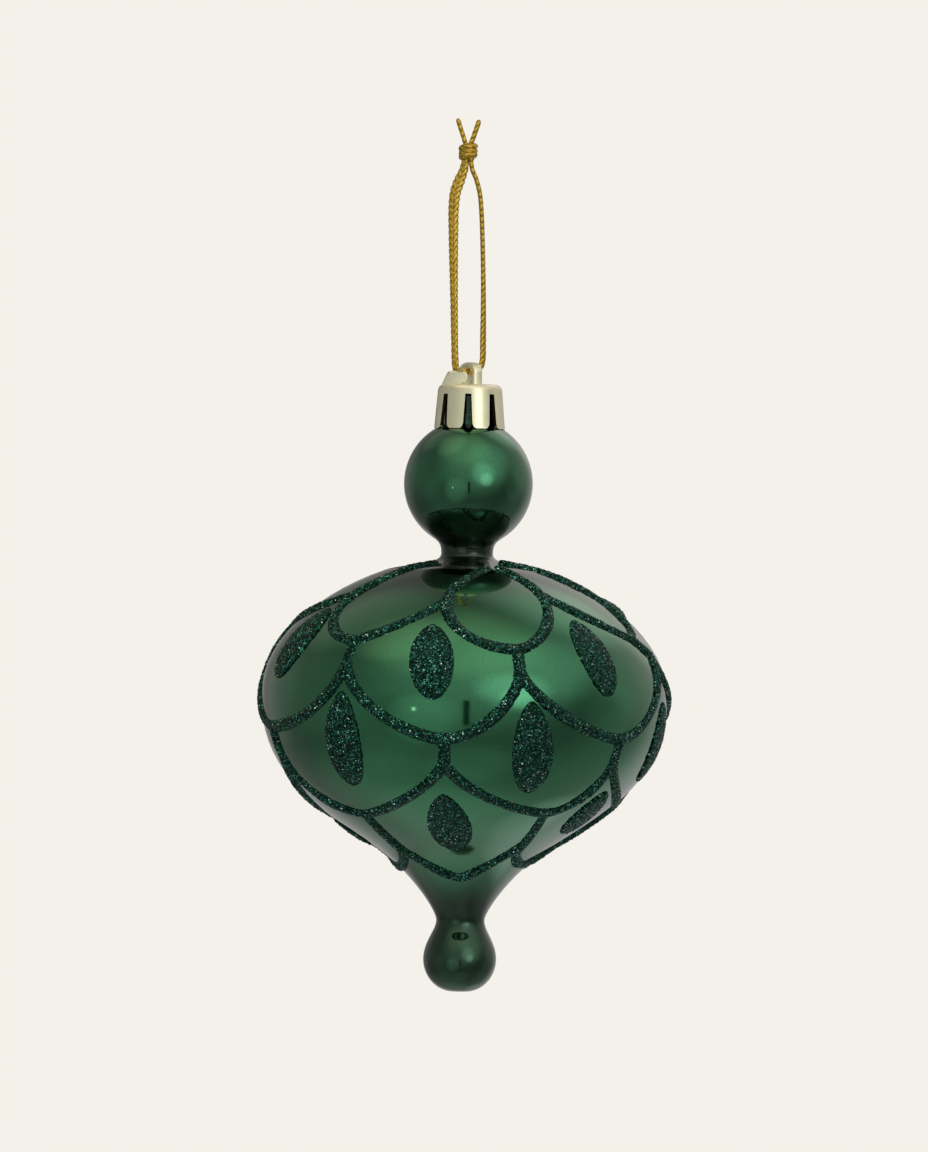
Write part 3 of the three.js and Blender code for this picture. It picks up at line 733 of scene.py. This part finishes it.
def bezier_point(arc, t):
    s = 1 - t
    weights = (s ** 3, 3 * s * s * t, 3 * s * t * t, t ** 3)
    return tuple(sum(w * p[k] for w, p in zip(weights, arc)) for k in (0, 1))


def body_side_points():
    """The body's outline from the upper neck down, with the length run at each point."""
    spots = []
    for arc in reversed(BODY_ARCS):
        spots.extend(bezier_point(arc, 1 - i / SIDE_STEPS) for i in range(SIDE_STEPS))
    spots.append(lower_neck)
    run = [0]
    for p, q in zip(spots, spots[1:]):
        run.append(run[-1] + math.dist(p, q))
    return spots, run


SIDE, SIDE_RUN = body_side_points()
SIDE_LENGTH = SIDE_RUN[-1]


def on_body(azimuth, share, lift=0.0):
    """A point on the body's side, lifted off it along its normal, in millimetres."""
    goal = min(max(share, 0), 1) * SIDE_LENGTH
    i = 0
    while i < len(SIDE) - 2 and SIDE_RUN[i + 1] < goal:
        i += 1
    (r0, z0), (r1, z1) = SIDE[i], SIDE[i + 1]
    part = (goal - SIDE_RUN[i]) / (SIDE_RUN[i + 1] - SIDE_RUN[i])
    length = math.hypot(r1 - r0, z1 - z0)
    r = between(r0, r1, part) + (z0 - z1) / length * lift
    z = between(z0, z1, part) + (r1 - r0) / length * lift
    turn = math.radians(azimuth)
    return Vector((math.sin(turn) * r, -math.cos(turn) * r, z))


# Each scallop's lowest point, and how full its left and right sides are: 2 is an ellipse
ROW_LOWS = [
    [(-95.5, 0.312, 2, 1), (-36, 0.338, 2, 1.2), (15.5, 0.351, 2, 1.6), (65, 0.325, 1.25, 2),
     (132, 0.335, 1.1, 2), (192, 0.345, 2, 2)],
    [(-70, 0.508, 2, 2), (-5.5, 0.518, 1.6, 1.7), (50, 0.517, 1.6, 1.7), (106, 0.505, 1.3, 2),
     (160, 0.515, 2, 2), (223, 0.51, 2, 2)],
    [(-42.5, 0.698, 2, 1.5), (33, 0.684, 1.6, 1.9), (86, 0.675, 1.5, 2), (132, 0.69, 2, 2),
     (190, 0.695, 2, 2), (256, 0.735, 2, 1.4)],
    [(-2, 0.896, 1.6, 1.6), (60, 0.862, 2, 2), (110, 0.875, 2, 2), (161, 0.885, 2, 2),
     (224, 0.885, 2, 2), (281, 0.877, 2, 2)],
]
# The first row's petals part from lines that run down from the neck: azimuth and share at the
# line's top and where the petals part, and how fast it turns aside
NECK_LINES = [
    (-148, 0.09, -135, 0.215, 1.4),
    (-44, 0.04, -55.5, 0.216, 1.1),
    (16, 0.09, -7.7, 0.228, 2.1),
    (24, 0.09, 34.2, 0.2, 2.2),
    (58, 0.03, 76, 0.218, 1.2),
    (140, 0.09, 162, 0.215, 1.6),
]
# The leaves of the second to the fourth row: each one's middle, width, length and lean
ROW_LEAVES = [
    [(-63, 0.341, 9.6, 16.9, -12), (-9.7, 0.373, 8.6, 16.1, 5), (41.5, 0.361, 8, 16.9, 8),
     (106, 0.395, 7.2, 13, 4), (160, 0.37, 8, 15, -5), (223, 0.36, 8, 15, 4)],
    [(-36.4, 0.528, 8.2, 19.6, -3), (20, 0.537, 8.2, 19.3, 6), (76, 0.53, 7.6, 16.8, 5),
     (133, 0.542, 7.6, 16.5, 3), (191, 0.547, 7.6, 16.5, 3), (256, 0.56, 7.6, 18, -3)],
    [(-5.5, 0.722, 8.4, 18.6, 4), (57, 0.692, 7.2, 13.6, 4), (109, 0.71, 6.6, 12, -4),
     (161, 0.72, 7.6, 14, 3), (223, 0.735, 7.6, 13, -3), (271, 0.772, 5.6, 9, 3)],
]
# How long the stems are that each row hangs by. Some slant: the row and scallop that such a stem
# hangs from, counted from 0, and how many degrees it turns aside
ROW_STEMS = [0, 4, 4.3, 11.5]
SLANTED_STEMS = {(0, 3): 8, (2, 1): 4}
SCALLOP_STEPS = 18
STEM_STEPS = 5
# The glue line is a round bead sunk so far that it is as wide and high as the real one. A hand
# squeezes it in slow waves of width, with a slight tremble, both as shares of that width
LINE_HALF = 1.1
LINE_HEIGHT = 0.75
LINE_R = (LINE_HALF ** 2 + LINE_HEIGHT ** 2) / (2 * LINE_HEIGHT)
LINE_SINK = LINE_R - LINE_HEIGHT
LINE_WAVE = 0.06
LINE_RHYTHM = 0.55
LINE_TREMBLE = 0.03
# Strewn glitter: the size of its grains, how wide and high its lumps are, and its gap to the shell
GRAIN = 0.28
LUMP_WIDTH = GRAIN * 1.3
LUMP_HEIGHT = 0.42
GLITTER_GAP = 0.03


def quarter(side, low, full):
    """A quarter round from steep at the side to level at the low point."""
    line = []
    for i in range(SCALLOP_STEPS + 1):
        turn = i / SCALLOP_STEPS * math.pi / 2
        aside = max(0, math.cos(turn)) ** (2 / full)
        down = math.sin(turn) ** (2 / full)
        line.append((between(low[0], side[0], aside), between(side[1], low[1], down)))
    return line


def petal_half(edge, low, full):
    """A line down from the neck, and then the petal's side."""
    top, top_share, part, part_share, bent = edge
    line = []
    for i in range(SCALLOP_STEPS):
        down = i / SCALLOP_STEPS
        line.append((between(part, top, (1 - down) ** bent), between(top_share, part_share, down)))
    return line + quarter((part, part_share), low, full)


def hung_quarter(junction, low, full, stem, slant):
    """A stem shared with the scallop's neighbour, and then the scallop's side."""
    foot_azimuth = junction[0] + slant
    foot_share = junction[1] + stem / SIDE_LENGTH
    line = []
    for i in range(STEM_STEPS):
        down = i / STEM_STEPS
        line.append((between(junction[0], foot_azimuth, down), between(junction[1], foot_share, down)))
    return line + quarter((foot_azimuth, foot_share), low, full)


def row_lines(row):
    """Every scallop of a row as one line, from its left upper end round its low point to its right."""
    lows = ROW_LOWS[row]

    def half(i, low, full):
        if row == 0:
            return petal_half(NECK_LINES[i], low, full)
        slant = SLANTED_STEMS.get((row - 1, i), 0)
        return hung_quarter(ROW_LOWS[row - 1][i], low, full, ROW_STEMS[row], slant)

    lines = []
    for i, (azimuth, share, left_full, right_full) in enumerate(lows):
        turns = 360 if i + 1 == len(lows) else 0
        left = half(i, (azimuth, share), left_full)
        right = half((i + 1) % len(lows), (azimuth - turns, share), right_full)
        lines.append(left[:-1] + [(a + turns, s) for a, s in right[::-1]])
    return lines


grain_texture = bpy.data.textures.new("glitter_grain", "CLOUDS")
grain_texture.noise_scale = LUMP_WIDTH * MM
grain_texture.noise_depth = 1


def strewn(obj):
    """Melts a piece's parts into one, roughens it as strewn glitter is, and lays it on the shell."""
    applied(obj, "REMESH", mode="VOXEL", voxel_size=GRAIN * MM, use_smooth_shade=True)
    applied(obj, "DISPLACE", texture=grain_texture, texture_coords="LOCAL", strength=LUMP_HEIGHT * MM,
            mid_level=0.5)
    applied(obj, "SHRINKWRAP", target=lacquered_shell, wrap_method="NEAREST_SURFACEPOINT",
            wrap_mode="OUTSIDE", offset=GLITTER_GAP * MM)
    return smooth(obj)


def glue_line(curve, line):
    """Lays one line on the body, as a hand squeezes it: never quite the same width."""
    spline = curve.splines.new("POLY")
    spline.points.add(len(line) - 1)
    phase = rng.uniform(0, math.tau)
    for i, (point, (azimuth, share)) in enumerate(zip(spline.points, line)):
        point.co = (*placed(*on_body(azimuth, share, -LINE_SINK)), 1)
        tremble = rng.uniform(-LINE_TREMBLE, LINE_TREMBLE)
        point.radius = 1 + LINE_WAVE * math.sin(phase + i * LINE_RHYTHM) + tremble


def glitter_row(row):
    curve = bpy.data.curves.new(f"scallops_{row + 1}", "CURVE")
    curve.dimensions = "3D"
    curve.bevel_depth = LINE_R * MM
    curve.bevel_resolution = 3
    curve.use_fill_caps = True
    for line in row_lines(row):
        glue_line(curve, line)
    obj = bpy.data.objects.new(curve.name, curve)
    bpy.context.collection.objects.link(obj)
    return strewn(to_mesh(obj, f"glitter_scallops_{row + 1}"))


for row in range(len(ROW_LOWS)):
    finished(glitter_row(row), GLITTER, "glitter", "shell", f"glitter_row_{row + 1}")

# Each leaf's height at its rim, how far it is domed above that and rooted in the shell, and how
# pointed its two ends are: 0 is an ellipse's
LEAF_RIM = 0.35
LEAF_DOME = 0.35
LEAF_ROOT = 0.4
LEAF_TOP_POINT = 0.18
LEAF_FOOT_POINT = 0.05
LEAF_BELLY = 0.08
LEAF_SIDES = 48
LEAF_RINGS = 6
LEAF_RING_WIDTH = 0.15


def glitter_leaf(name, azimuth, share, width, length, lean):
    """A pointed oval of glue: a disc inset into rings, thickened, domed and laid on the body."""
    deselect()
    bpy.ops.mesh.primitive_circle_add(vertices=LEAF_SIDES, radius=1, fill_type="NGON", location=(0, 0, 0))
    leaf = bpy.context.object
    bpy.ops.object.mode_set(mode="EDIT")
    bpy.ops.mesh.select_all(action="SELECT")
    for _ in range(LEAF_RINGS):
        bpy.ops.mesh.inset(thickness=LEAF_RING_WIDTH, depth=0)
    bpy.ops.mesh.select_all(action="SELECT")
    bpy.ops.mesh.extrude_region_move(TRANSFORM_OT_translate={"value": (0, 0, 1)})
    bpy.ops.mesh.select_all(action="SELECT")
    bpy.ops.mesh.normals_make_consistent(inside=False)
    bpy.ops.object.mode_set(mode="OBJECT")
    seat = on_body(azimuth, share)
    seat_r = math.hypot(seat.x, seat.y)
    tilt = math.tan(math.radians(lean))
    for vert in leaf.data.vertices:
        x, y, top = vert.co
        radius = math.hypot(x, y)
        v = -y
        # The disc's width at each height becomes the pointed oval's
        point = LEAF_TOP_POINT if v < 0 else LEAF_FOOT_POINT
        pointed = (1 - min(1, v * v)) ** point * (1 + LEAF_BELLY * v)
        down = v * length / 2
        share_here = share + down / SIDE_LENGTH
        around = on_body(azimuth, share_here)
        r = math.hypot(around.x, around.y)
        across = x * pointed * width / 2 + down * tilt * min(1, r / seat_r)
        lift = LEAF_RIM + LEAF_DOME * (1 - radius * radius) if top > 0.5 else -LEAF_ROOT
        vert.co = placed(*on_body(azimuth + math.degrees(across / r), share_here, lift))
    return strewn(joined([leaf], name))


for row, leaves in enumerate(ROW_LEAVES):
    for i, leaf_place in enumerate(leaves):
        name = f"leaf_row_{row + 2}_{i + 1}"
        finished(glitter_leaf(f"glitter_{name}", *leaf_place), GLITTER, "glitter", "shell", name)


# Cap

# A slotted cup with its bail and the ramp that guides the cord in. Its shoulder is a quarter
# round, and its fingers' tips slant down outwards to follow the ball
CAP_TOP_R = 6.35
CAP_SKIRT_R = 7
CAP_WALL = 0.75
CAP_ROOF = 1
CAP_SHOULDER = 1.25
CAP_INNER_EDGE = 0.5
CAP_FINGERS = 8
CAP_TURN = -3
CAP_STEPS = 96
CAP_ARC_STEPS = 8
STANDING_ARC_STEPS = 10
NECK_CLEARANCE = 0.08
SLOT_TOP_WIDTH = 1.2
SLOT_MOUTH_WIDTH = 1.8
SLOT_HEAD = 2
CUTTER_INNER_R = 3
CUTTER_DEPTH = 6
FINGER_ROUND = 1.5
FINGER_CORNER = 0.95
TIP_DROP = 0.4
# How far a round's handles reach, as a share of its radius: at the shoulder, and at the tips
ROUND_REACH = 0.552
TIP_REACH = 0.62
# A face is an inner wall where its normal points at least this far towards the axis, and a slot's
# wall where it points less than this away from it, and less than this up or down. Both get painted shade
FACES_INWARDS = -0.3
FACES_ASIDE = 0.35
MOULDED_EDGE = 0.14
MOULDED_EDGE_ANGLE = 50
BAIL_TURN = -64
BAIL_HEIGHT = 4.4
BAIL_HALF_SPAN = 3.5
BAIL_LEG = 1.8
BAIL_CROWN = 0.9
BAIL_BAND = 1.9
BAIL_ROUND = 0.28
RAMP_TURN = -16
RAMP_HEIGHT = 2.8
RAMP_THICKNESS = 1
RAMP_OUT = 3.7
RAMP_LEFT = -4.9
RAMP_TOP_LEFT = -3.15
RAMP_RIGHT = 0.52
RAMP_ROUND = 0.22
RAMP_SLOPE = 0.35
RAMP_LIFT = 0.2
RAMP_LEAN = 28.5
RAMP_FALL = 6
# The block that cuts the ramp's top: how high it is, how many times longer, and where its middle is
RAMP_CUTTER = 3
RAMP_CUTTER_STRETCH = 4
RAMP_CUTTER_X = -1
# How far the bail's and the ramp's feet are sunk into the cap's roof
SUNK = 0.8

tip_inner_r = CAP_SKIRT_R - CAP_WALL
tip_z = BALL_Z + math.sqrt(BALL_R ** 2 - tip_inner_r ** 2) + NECK_CLEARANCE


def standing(name, arcs, depth, round_edge, y, turn, z):
    """An outline filled and given depth, stood up facing the front, turned about the axis."""
    curve_data = bpy.data.curves.new(name, "CURVE")
    curve_data.dimensions = "2D"
    curve_data.fill_mode = "BOTH"
    curve_data.resolution_u = STANDING_ARC_STEPS
    curve_data.extrude = (depth / 2 - round_edge) * MM
    curve_data.bevel_depth = round_edge * MM
    curve_data.bevel_resolution = 2
    curve_data.offset = -round_edge * MM
    spline = curve_data.splines.new("BEZIER")
    spline.bezier_points.add(len(arcs) - 1)
    spline.use_cyclic_u = True
    for i, (point, arc) in enumerate(zip(spline.bezier_points, arcs)):
        before = arcs[i - 1][2]
        free_handles(point, *(Vector((x, height, 0)) * MM for x, height in (arc[0], before, arc[1])))
    obj = bpy.data.objects.new(name, curve_data)
    bpy.context.collection.objects.link(obj)
    upright = turn_about("Z", turn) @ Matrix.Translation((0, y * MM, 0)) @ turn_about("X", 90)
    obj.matrix_world = Matrix.Translation(placed(0, 0, z)) @ upright
    return merged(settle(to_mesh(obj, name)), CURVE_GAP)


def combined(obj, other, operation):
    """Cuts another object away from one, or joins it on, and removes that other object."""
    applied(obj, "BOOLEAN", operation=operation, object=other, solver="EXACT")
    bpy.data.objects.remove(other)
    return obj


def bail_arch():
    outer = BAIL_HALF_SPAN
    inner = outer - BAIL_LEG
    inner_top = BAIL_HEIGHT - BAIL_CROWN
    right = path_arcs((0, BAIL_HEIGHT), [
        (0.5 * outer, BAIL_HEIGHT, outer, BAIL_HEIGHT - 0.5, outer, BAIL_HEIGHT - 0.55 * outer),
        (outer, -SUNK),
        (inner, -SUNK),
        (inner, inner_top - 0.85 * inner),
        (inner, inner_top - 0.4, 0.6 * inner, inner_top, 0, inner_top),
    ])
    left = [tuple((-x, z) for x, z in reversed(arc)) for arc in reversed(right)]
    return standing("bail_arch", right + left, BAIL_BAND, BAIL_ROUND, 0, BAIL_TURN, CAP_TOP_Z)


def bail_ramp():
    slope = RAMP_SLOPE
    lift = RAMP_LIFT
    top = RAMP_HEIGHT
    arcs = path_arcs((RAMP_LEFT, -SUNK), [
        (RAMP_LEFT + slope, lift),
        (RAMP_TOP_LEFT - slope, top - slope),
        (RAMP_TOP_LEFT - slope / 2, top, RAMP_TOP_LEFT, top, RAMP_TOP_LEFT + 2 * slope, top),
        (RAMP_RIGHT - 2 * slope, top - slope),
        (RAMP_RIGHT - slope, top - slope, RAMP_RIGHT, top - 2 * slope, RAMP_RIGHT, top / 2),
        (RAMP_RIGHT, top / 3, RAMP_RIGHT, lift * 2, RAMP_RIGHT - slope, lift),
        (RAMP_RIGHT - 3 * slope, lift / 2),
        (RAMP_RIGHT - 3 * slope, -SUNK),
        (RAMP_LEFT, -SUNK),
    ])
    ramp = standing("bail_ramp", arcs, RAMP_THICKNESS, RAMP_ROUND, -RAMP_OUT, RAMP_TURN, CAP_TOP_Z)
    # Its top is cut to lean forward and fall a little to the left, and so mirrors the braid above it
    lean = turn_about("X", RAMP_LEAN) @ turn_about("Y", -RAMP_FALL)
    drop = RAMP_THICKNESS / 2 * math.tan(math.radians(RAMP_LEAN))
    top_middle = Vector((RAMP_CUTTER_X, -RAMP_OUT, RAMP_HEIGHT - drop))
    middle = top_middle + lean @ Vector((0, 0, RAMP_CUTTER / 2))
    deselect()
    bpy.ops.mesh.primitive_cube_add(size=RAMP_CUTTER * MM)
    cutter = bpy.context.object
    cutter.scale = (RAMP_CUTTER_STRETCH, 1, 1)
    bpy.ops.object.transform_apply(location=False, rotation=False, scale=True)
    turned = turn_about("Z", RAMP_TURN) @ Matrix.Translation(middle * MM) @ lean
    cutter.matrix_world = Matrix.Translation(placed(0, 0, CAP_TOP_Z)) @ turned
    return combined(ramp, cutter, "DIFFERENCE")


def slot_cutter(index):
    head = CAP_TOP_Z - SLOT_HEAD
    foot = tip_z - TIP_DROP
    mouth = foot + FINGER_ROUND
    half_top = SLOT_TOP_WIDTH / 2
    half_mouth = SLOT_MOUTH_WIDTH / 2
    half_foot = half_mouth + FINGER_CORNER
    below = foot - 1
    bend = mouth - TIP_REACH * FINGER_ROUND
    half_bend = half_foot - TIP_REACH * FINGER_CORNER
    arcs = path_arcs((-half_top, head), [
        (-half_mouth, mouth),
        (-half_mouth, bend, -half_bend, foot, -half_foot, foot),
        (-half_foot, below),
        (half_foot, below),
        (half_foot, foot),
        (half_bend, foot, half_mouth, bend, half_mouth, mouth),
        (half_top, head),
        (-half_top, head),
    ])
    turn = CAP_TURN + index * 360 / CAP_FINGERS
    return standing(f"slot_{index}", arcs, CUTTER_DEPTH, 0, -CUTTER_INNER_R - CUTTER_DEPTH / 2, turn, 0)


def cap():
    inner_r = COLLAR_R + NECK_CLEARANCE
    under = CAP_TOP_Z - CAP_ROOF
    bend = (1 - ROUND_REACH) * CAP_SHOULDER
    arcs = path_arcs((0, under), [
        (inner_r - CAP_INNER_EDGE, under),
        (inner_r, under - CAP_INNER_EDGE),
        (tip_inner_r, tip_z),
        (CAP_SKIRT_R, tip_z - TIP_DROP),
        (CAP_TOP_R, CAP_TOP_Z - CAP_SHOULDER),
        (CAP_TOP_R, CAP_TOP_Z - bend, CAP_TOP_R - bend, CAP_TOP_Z, CAP_TOP_R - CAP_SHOULDER, CAP_TOP_Z),
        (0, CAP_TOP_Z),
    ])
    cup = spun(drawn_outline("cap_with_bail", arcs, CAP_ARC_STEPS), CAP_STEPS)
    for index in range(CAP_FINGERS):
        combined(cup, slot_cutter(index), "DIFFERENCE")
    for addition in (bail_arch(), bail_ramp()):
        combined(cup, addition, "UNION")
    applied(cup, "BEVEL", width=MOULDED_EDGE * MM, segments=2, limit_method="ANGLE",
            angle_limit=math.radians(MOULDED_EDGE_ANGLE), use_clamp_overlap=True)
    # The inside and the slots' walls, below the roof, are marked for the material's painted shade
    inner = cup.data.attributes.new("painted_shade_inside", "FLOAT", "FACE")
    axis = placed(0, 0, 0)
    below = placed(0, 0, under).z
    for face, value in zip(cup.data.polygons, inner.data):
        away = (face.center - axis).xy
        outward = away.dot(face.normal.xy) / max(away.length, 1e-9)
        slot_wall = outward < FACES_ASIDE and abs(face.normal.z) < FACES_ASIDE
        value.value = 1 if face.center.z < below and (outward < FACES_INWARDS or slot_wall) else 0
    return smooth(cup, SHARP_ANGLE)


finished(cap(), CHAMPAGNE, "cap_champagne", "cap", "cap")


# Stage: a small lamp, and soft light all round
LAMP_AIM_Z = 60


def away_from(azimuth, height):
    """The direction from the ornament, in degrees. Azimuth 0 is the camera's side, positive is right."""
    turn = math.radians(azimuth)
    rise = math.radians(height)
    return Vector((math.sin(turn) * math.cos(rise), -math.cos(turn) * math.cos(rise), math.sin(rise)))


def lamp(name, azimuth, height, distance, size, power, colour):
    """A small rectangular lamp that faces the body, in metres and watts."""
    away = away_from(azimuth, height)
    deselect()
    bpy.ops.object.light_add(type="AREA", location=placed(0, 0, LAMP_AIM_Z) + away * distance)
    light = bpy.context.object
    light.name = name
    light.rotation_euler = away.to_track_quat("Z", "Y").to_euler()
    light.data.shape = "RECTANGLE"
    light.data.size, light.data.size_y = size
    light.data.energy = power
    light.data.color = linear(colour)[:3]


lamp("lamp_left", azimuth=-28, height=-6, distance=1.2, size=(0.035, 0.05), power=0.02, colour="#fff8ee")

# What stands round the ornament, as soft patches of light on a dim room. Each has the azimuth and
# the height that it comes from, how widely it spreads, its strength and its colour. A spread is
# two cosines of the angle from its middle: where it begins, and where it is full
SPREADS = {
    "broad": (0.3, 0.97),
    "wide": (0.7, 0.99),
    "medium": (0.9, 0.998),
    "small": (0.97, 0.9995),
}
ROOM_PARTS = [
    (11, 38, "broad", 0.42, "#fafff6"),
    (43, 36, "wide", 0.3, "#fdfff6"),
    (28, 16, "medium", 0.6, "#f4fff8"),
    (32, 7, "small", 0.8, "#f4fff8"),
    (-10, 68, "wide", 0.3, "#ffedb4"),
    (-71, 64, "medium", 0.36, "#ffe2cc"),
    (120, 29, "wide", 0.3, "#fff4f0"),
    (160, 26, "medium", 0.3, "#fff8f4"),
    (145, 50, "medium", 0.4, "#fff6ee"),
    (-132, 51, "medium", 0.2, "#fff6dc"),
    (-131, 4, "medium", 0.08, "#f8fff4"),
    (-84, 12, "wide", 0.09, "#f4fff4"),
    (92, -2, "medium", 0.08, "#f6fff8"),
    (-22, -13, "medium", 0.26, "#ecfff2"),
    (115, -36, "wide", 0.1, "#f6fff8"),
    (165, -22, "wide", 0.24, "#fbf8ff"),
    (146, -55, "small", 0.26, "#fff0fa"),
    (-160, -76, "medium", 0.14, "#f8fff8"),
    (-104, -73, "wide", 0.12, "#eafff0"),
    (-50, -20, "wide", 0.1, "#e6fff0"),
    (8, -55, "medium", 0.09, "#ecfff8"),
    (0, -85, "broad", 0.09, "#f2fff8"),
]
ROOM_DIM = 0.2
WALL = "#f4f1ea"
# The camera on its stand shades a thin upright strip of the room in front, and the same behind.
# Across is how far a direction points aside from it, and along how far up, each with where the
# shade begins to end and where it has ended
STAND_SHADE = 0.92
STAND_ACROSS = (1, 0.02, 0)
STAND_ACROSS_ENDS = (0.01, 0.05)
STAND_ALONG = (0, -0.14, 1)
STAND_ALONG_ENDS = (0.14, 0.22)


def room_light():
    world = bpy.data.worlds.new("soft_room")
    bpy.context.scene.world = world
    world.use_nodes = True
    tree = world.node_tree
    tree.nodes.clear()
    direction = node(tree, "ShaderNodeTexCoord").outputs["Generated"]
    glow = node(tree, "ShaderNodeVectorMath", {
        0: linear(WALL)[:3], "Scale": ROOM_DIM,
    }, operation="SCALE").outputs[0]
    for azimuth, height, spread, strength, colour in ROOM_PARTS:
        towards = tuple(away_from(azimuth, height))
        fades_in, full = SPREADS[spread]
        facing = node(tree, "ShaderNodeVectorMath", {0: direction, 1: towards}, operation="DOT_PRODUCT")
        share = node(tree, "ShaderNodeMapRange", {
            "Value": facing.outputs["Value"], "From Min": fades_in, "From Max": full, "To Max": strength,
        }, interpolation_type="SMOOTHSTEP")
        glow = node(tree, "ShaderNodeVectorMath", {
            0: share.outputs[0], 1: linear(colour)[:3], 2: glow,
        }, operation="MULTIPLY_ADD").outputs[0]
    shaded = STAND_SHADE
    for towards, (full, ends) in ((STAND_ACROSS, STAND_ACROSS_ENDS), (STAND_ALONG, STAND_ALONG_ENDS)):
        facing = node(tree, "ShaderNodeVectorMath", {0: direction, 1: towards}, operation="DOT_PRODUCT")
        off = node(tree, "ShaderNodeMath", {0: facing.outputs["Value"]}, operation="ABSOLUTE")
        share = node(tree, "ShaderNodeMapRange", {
            "Value": off.outputs[0], "From Min": full, "From Max": ends, "To Min": 1, "To Max": 0,
        }, interpolation_type="SMOOTHSTEP")
        shaded = node(tree, "ShaderNodeMath", {
            0: shaded, 1: share.outputs[0],
        }, operation="MULTIPLY").outputs[0]
    lit = node(tree, "ShaderNodeMath", {0: 1.0, 1: shaded}, operation="SUBTRACT")
    room = node(tree, "ShaderNodeBackground", {"Color": glow, "Strength": lit.outputs[0]})
    wall = node(tree, "ShaderNodeBackground", {"Color": linear(WALL), "Strength": 1.0})
    seen = node(tree, "ShaderNodeLightPath").outputs["Is Camera Ray"]
    both = node(tree, "ShaderNodeMixShader", {0: seen, 1: room.outputs[0], 2: wall.outputs[0]})
    node(tree, "ShaderNodeOutputWorld", {"Surface": both.outputs[0]})


room_light()
bpy.context.scene.view_settings.view_transform = "Standard"
bpy.context.scene.view_settings.exposure = 0.0
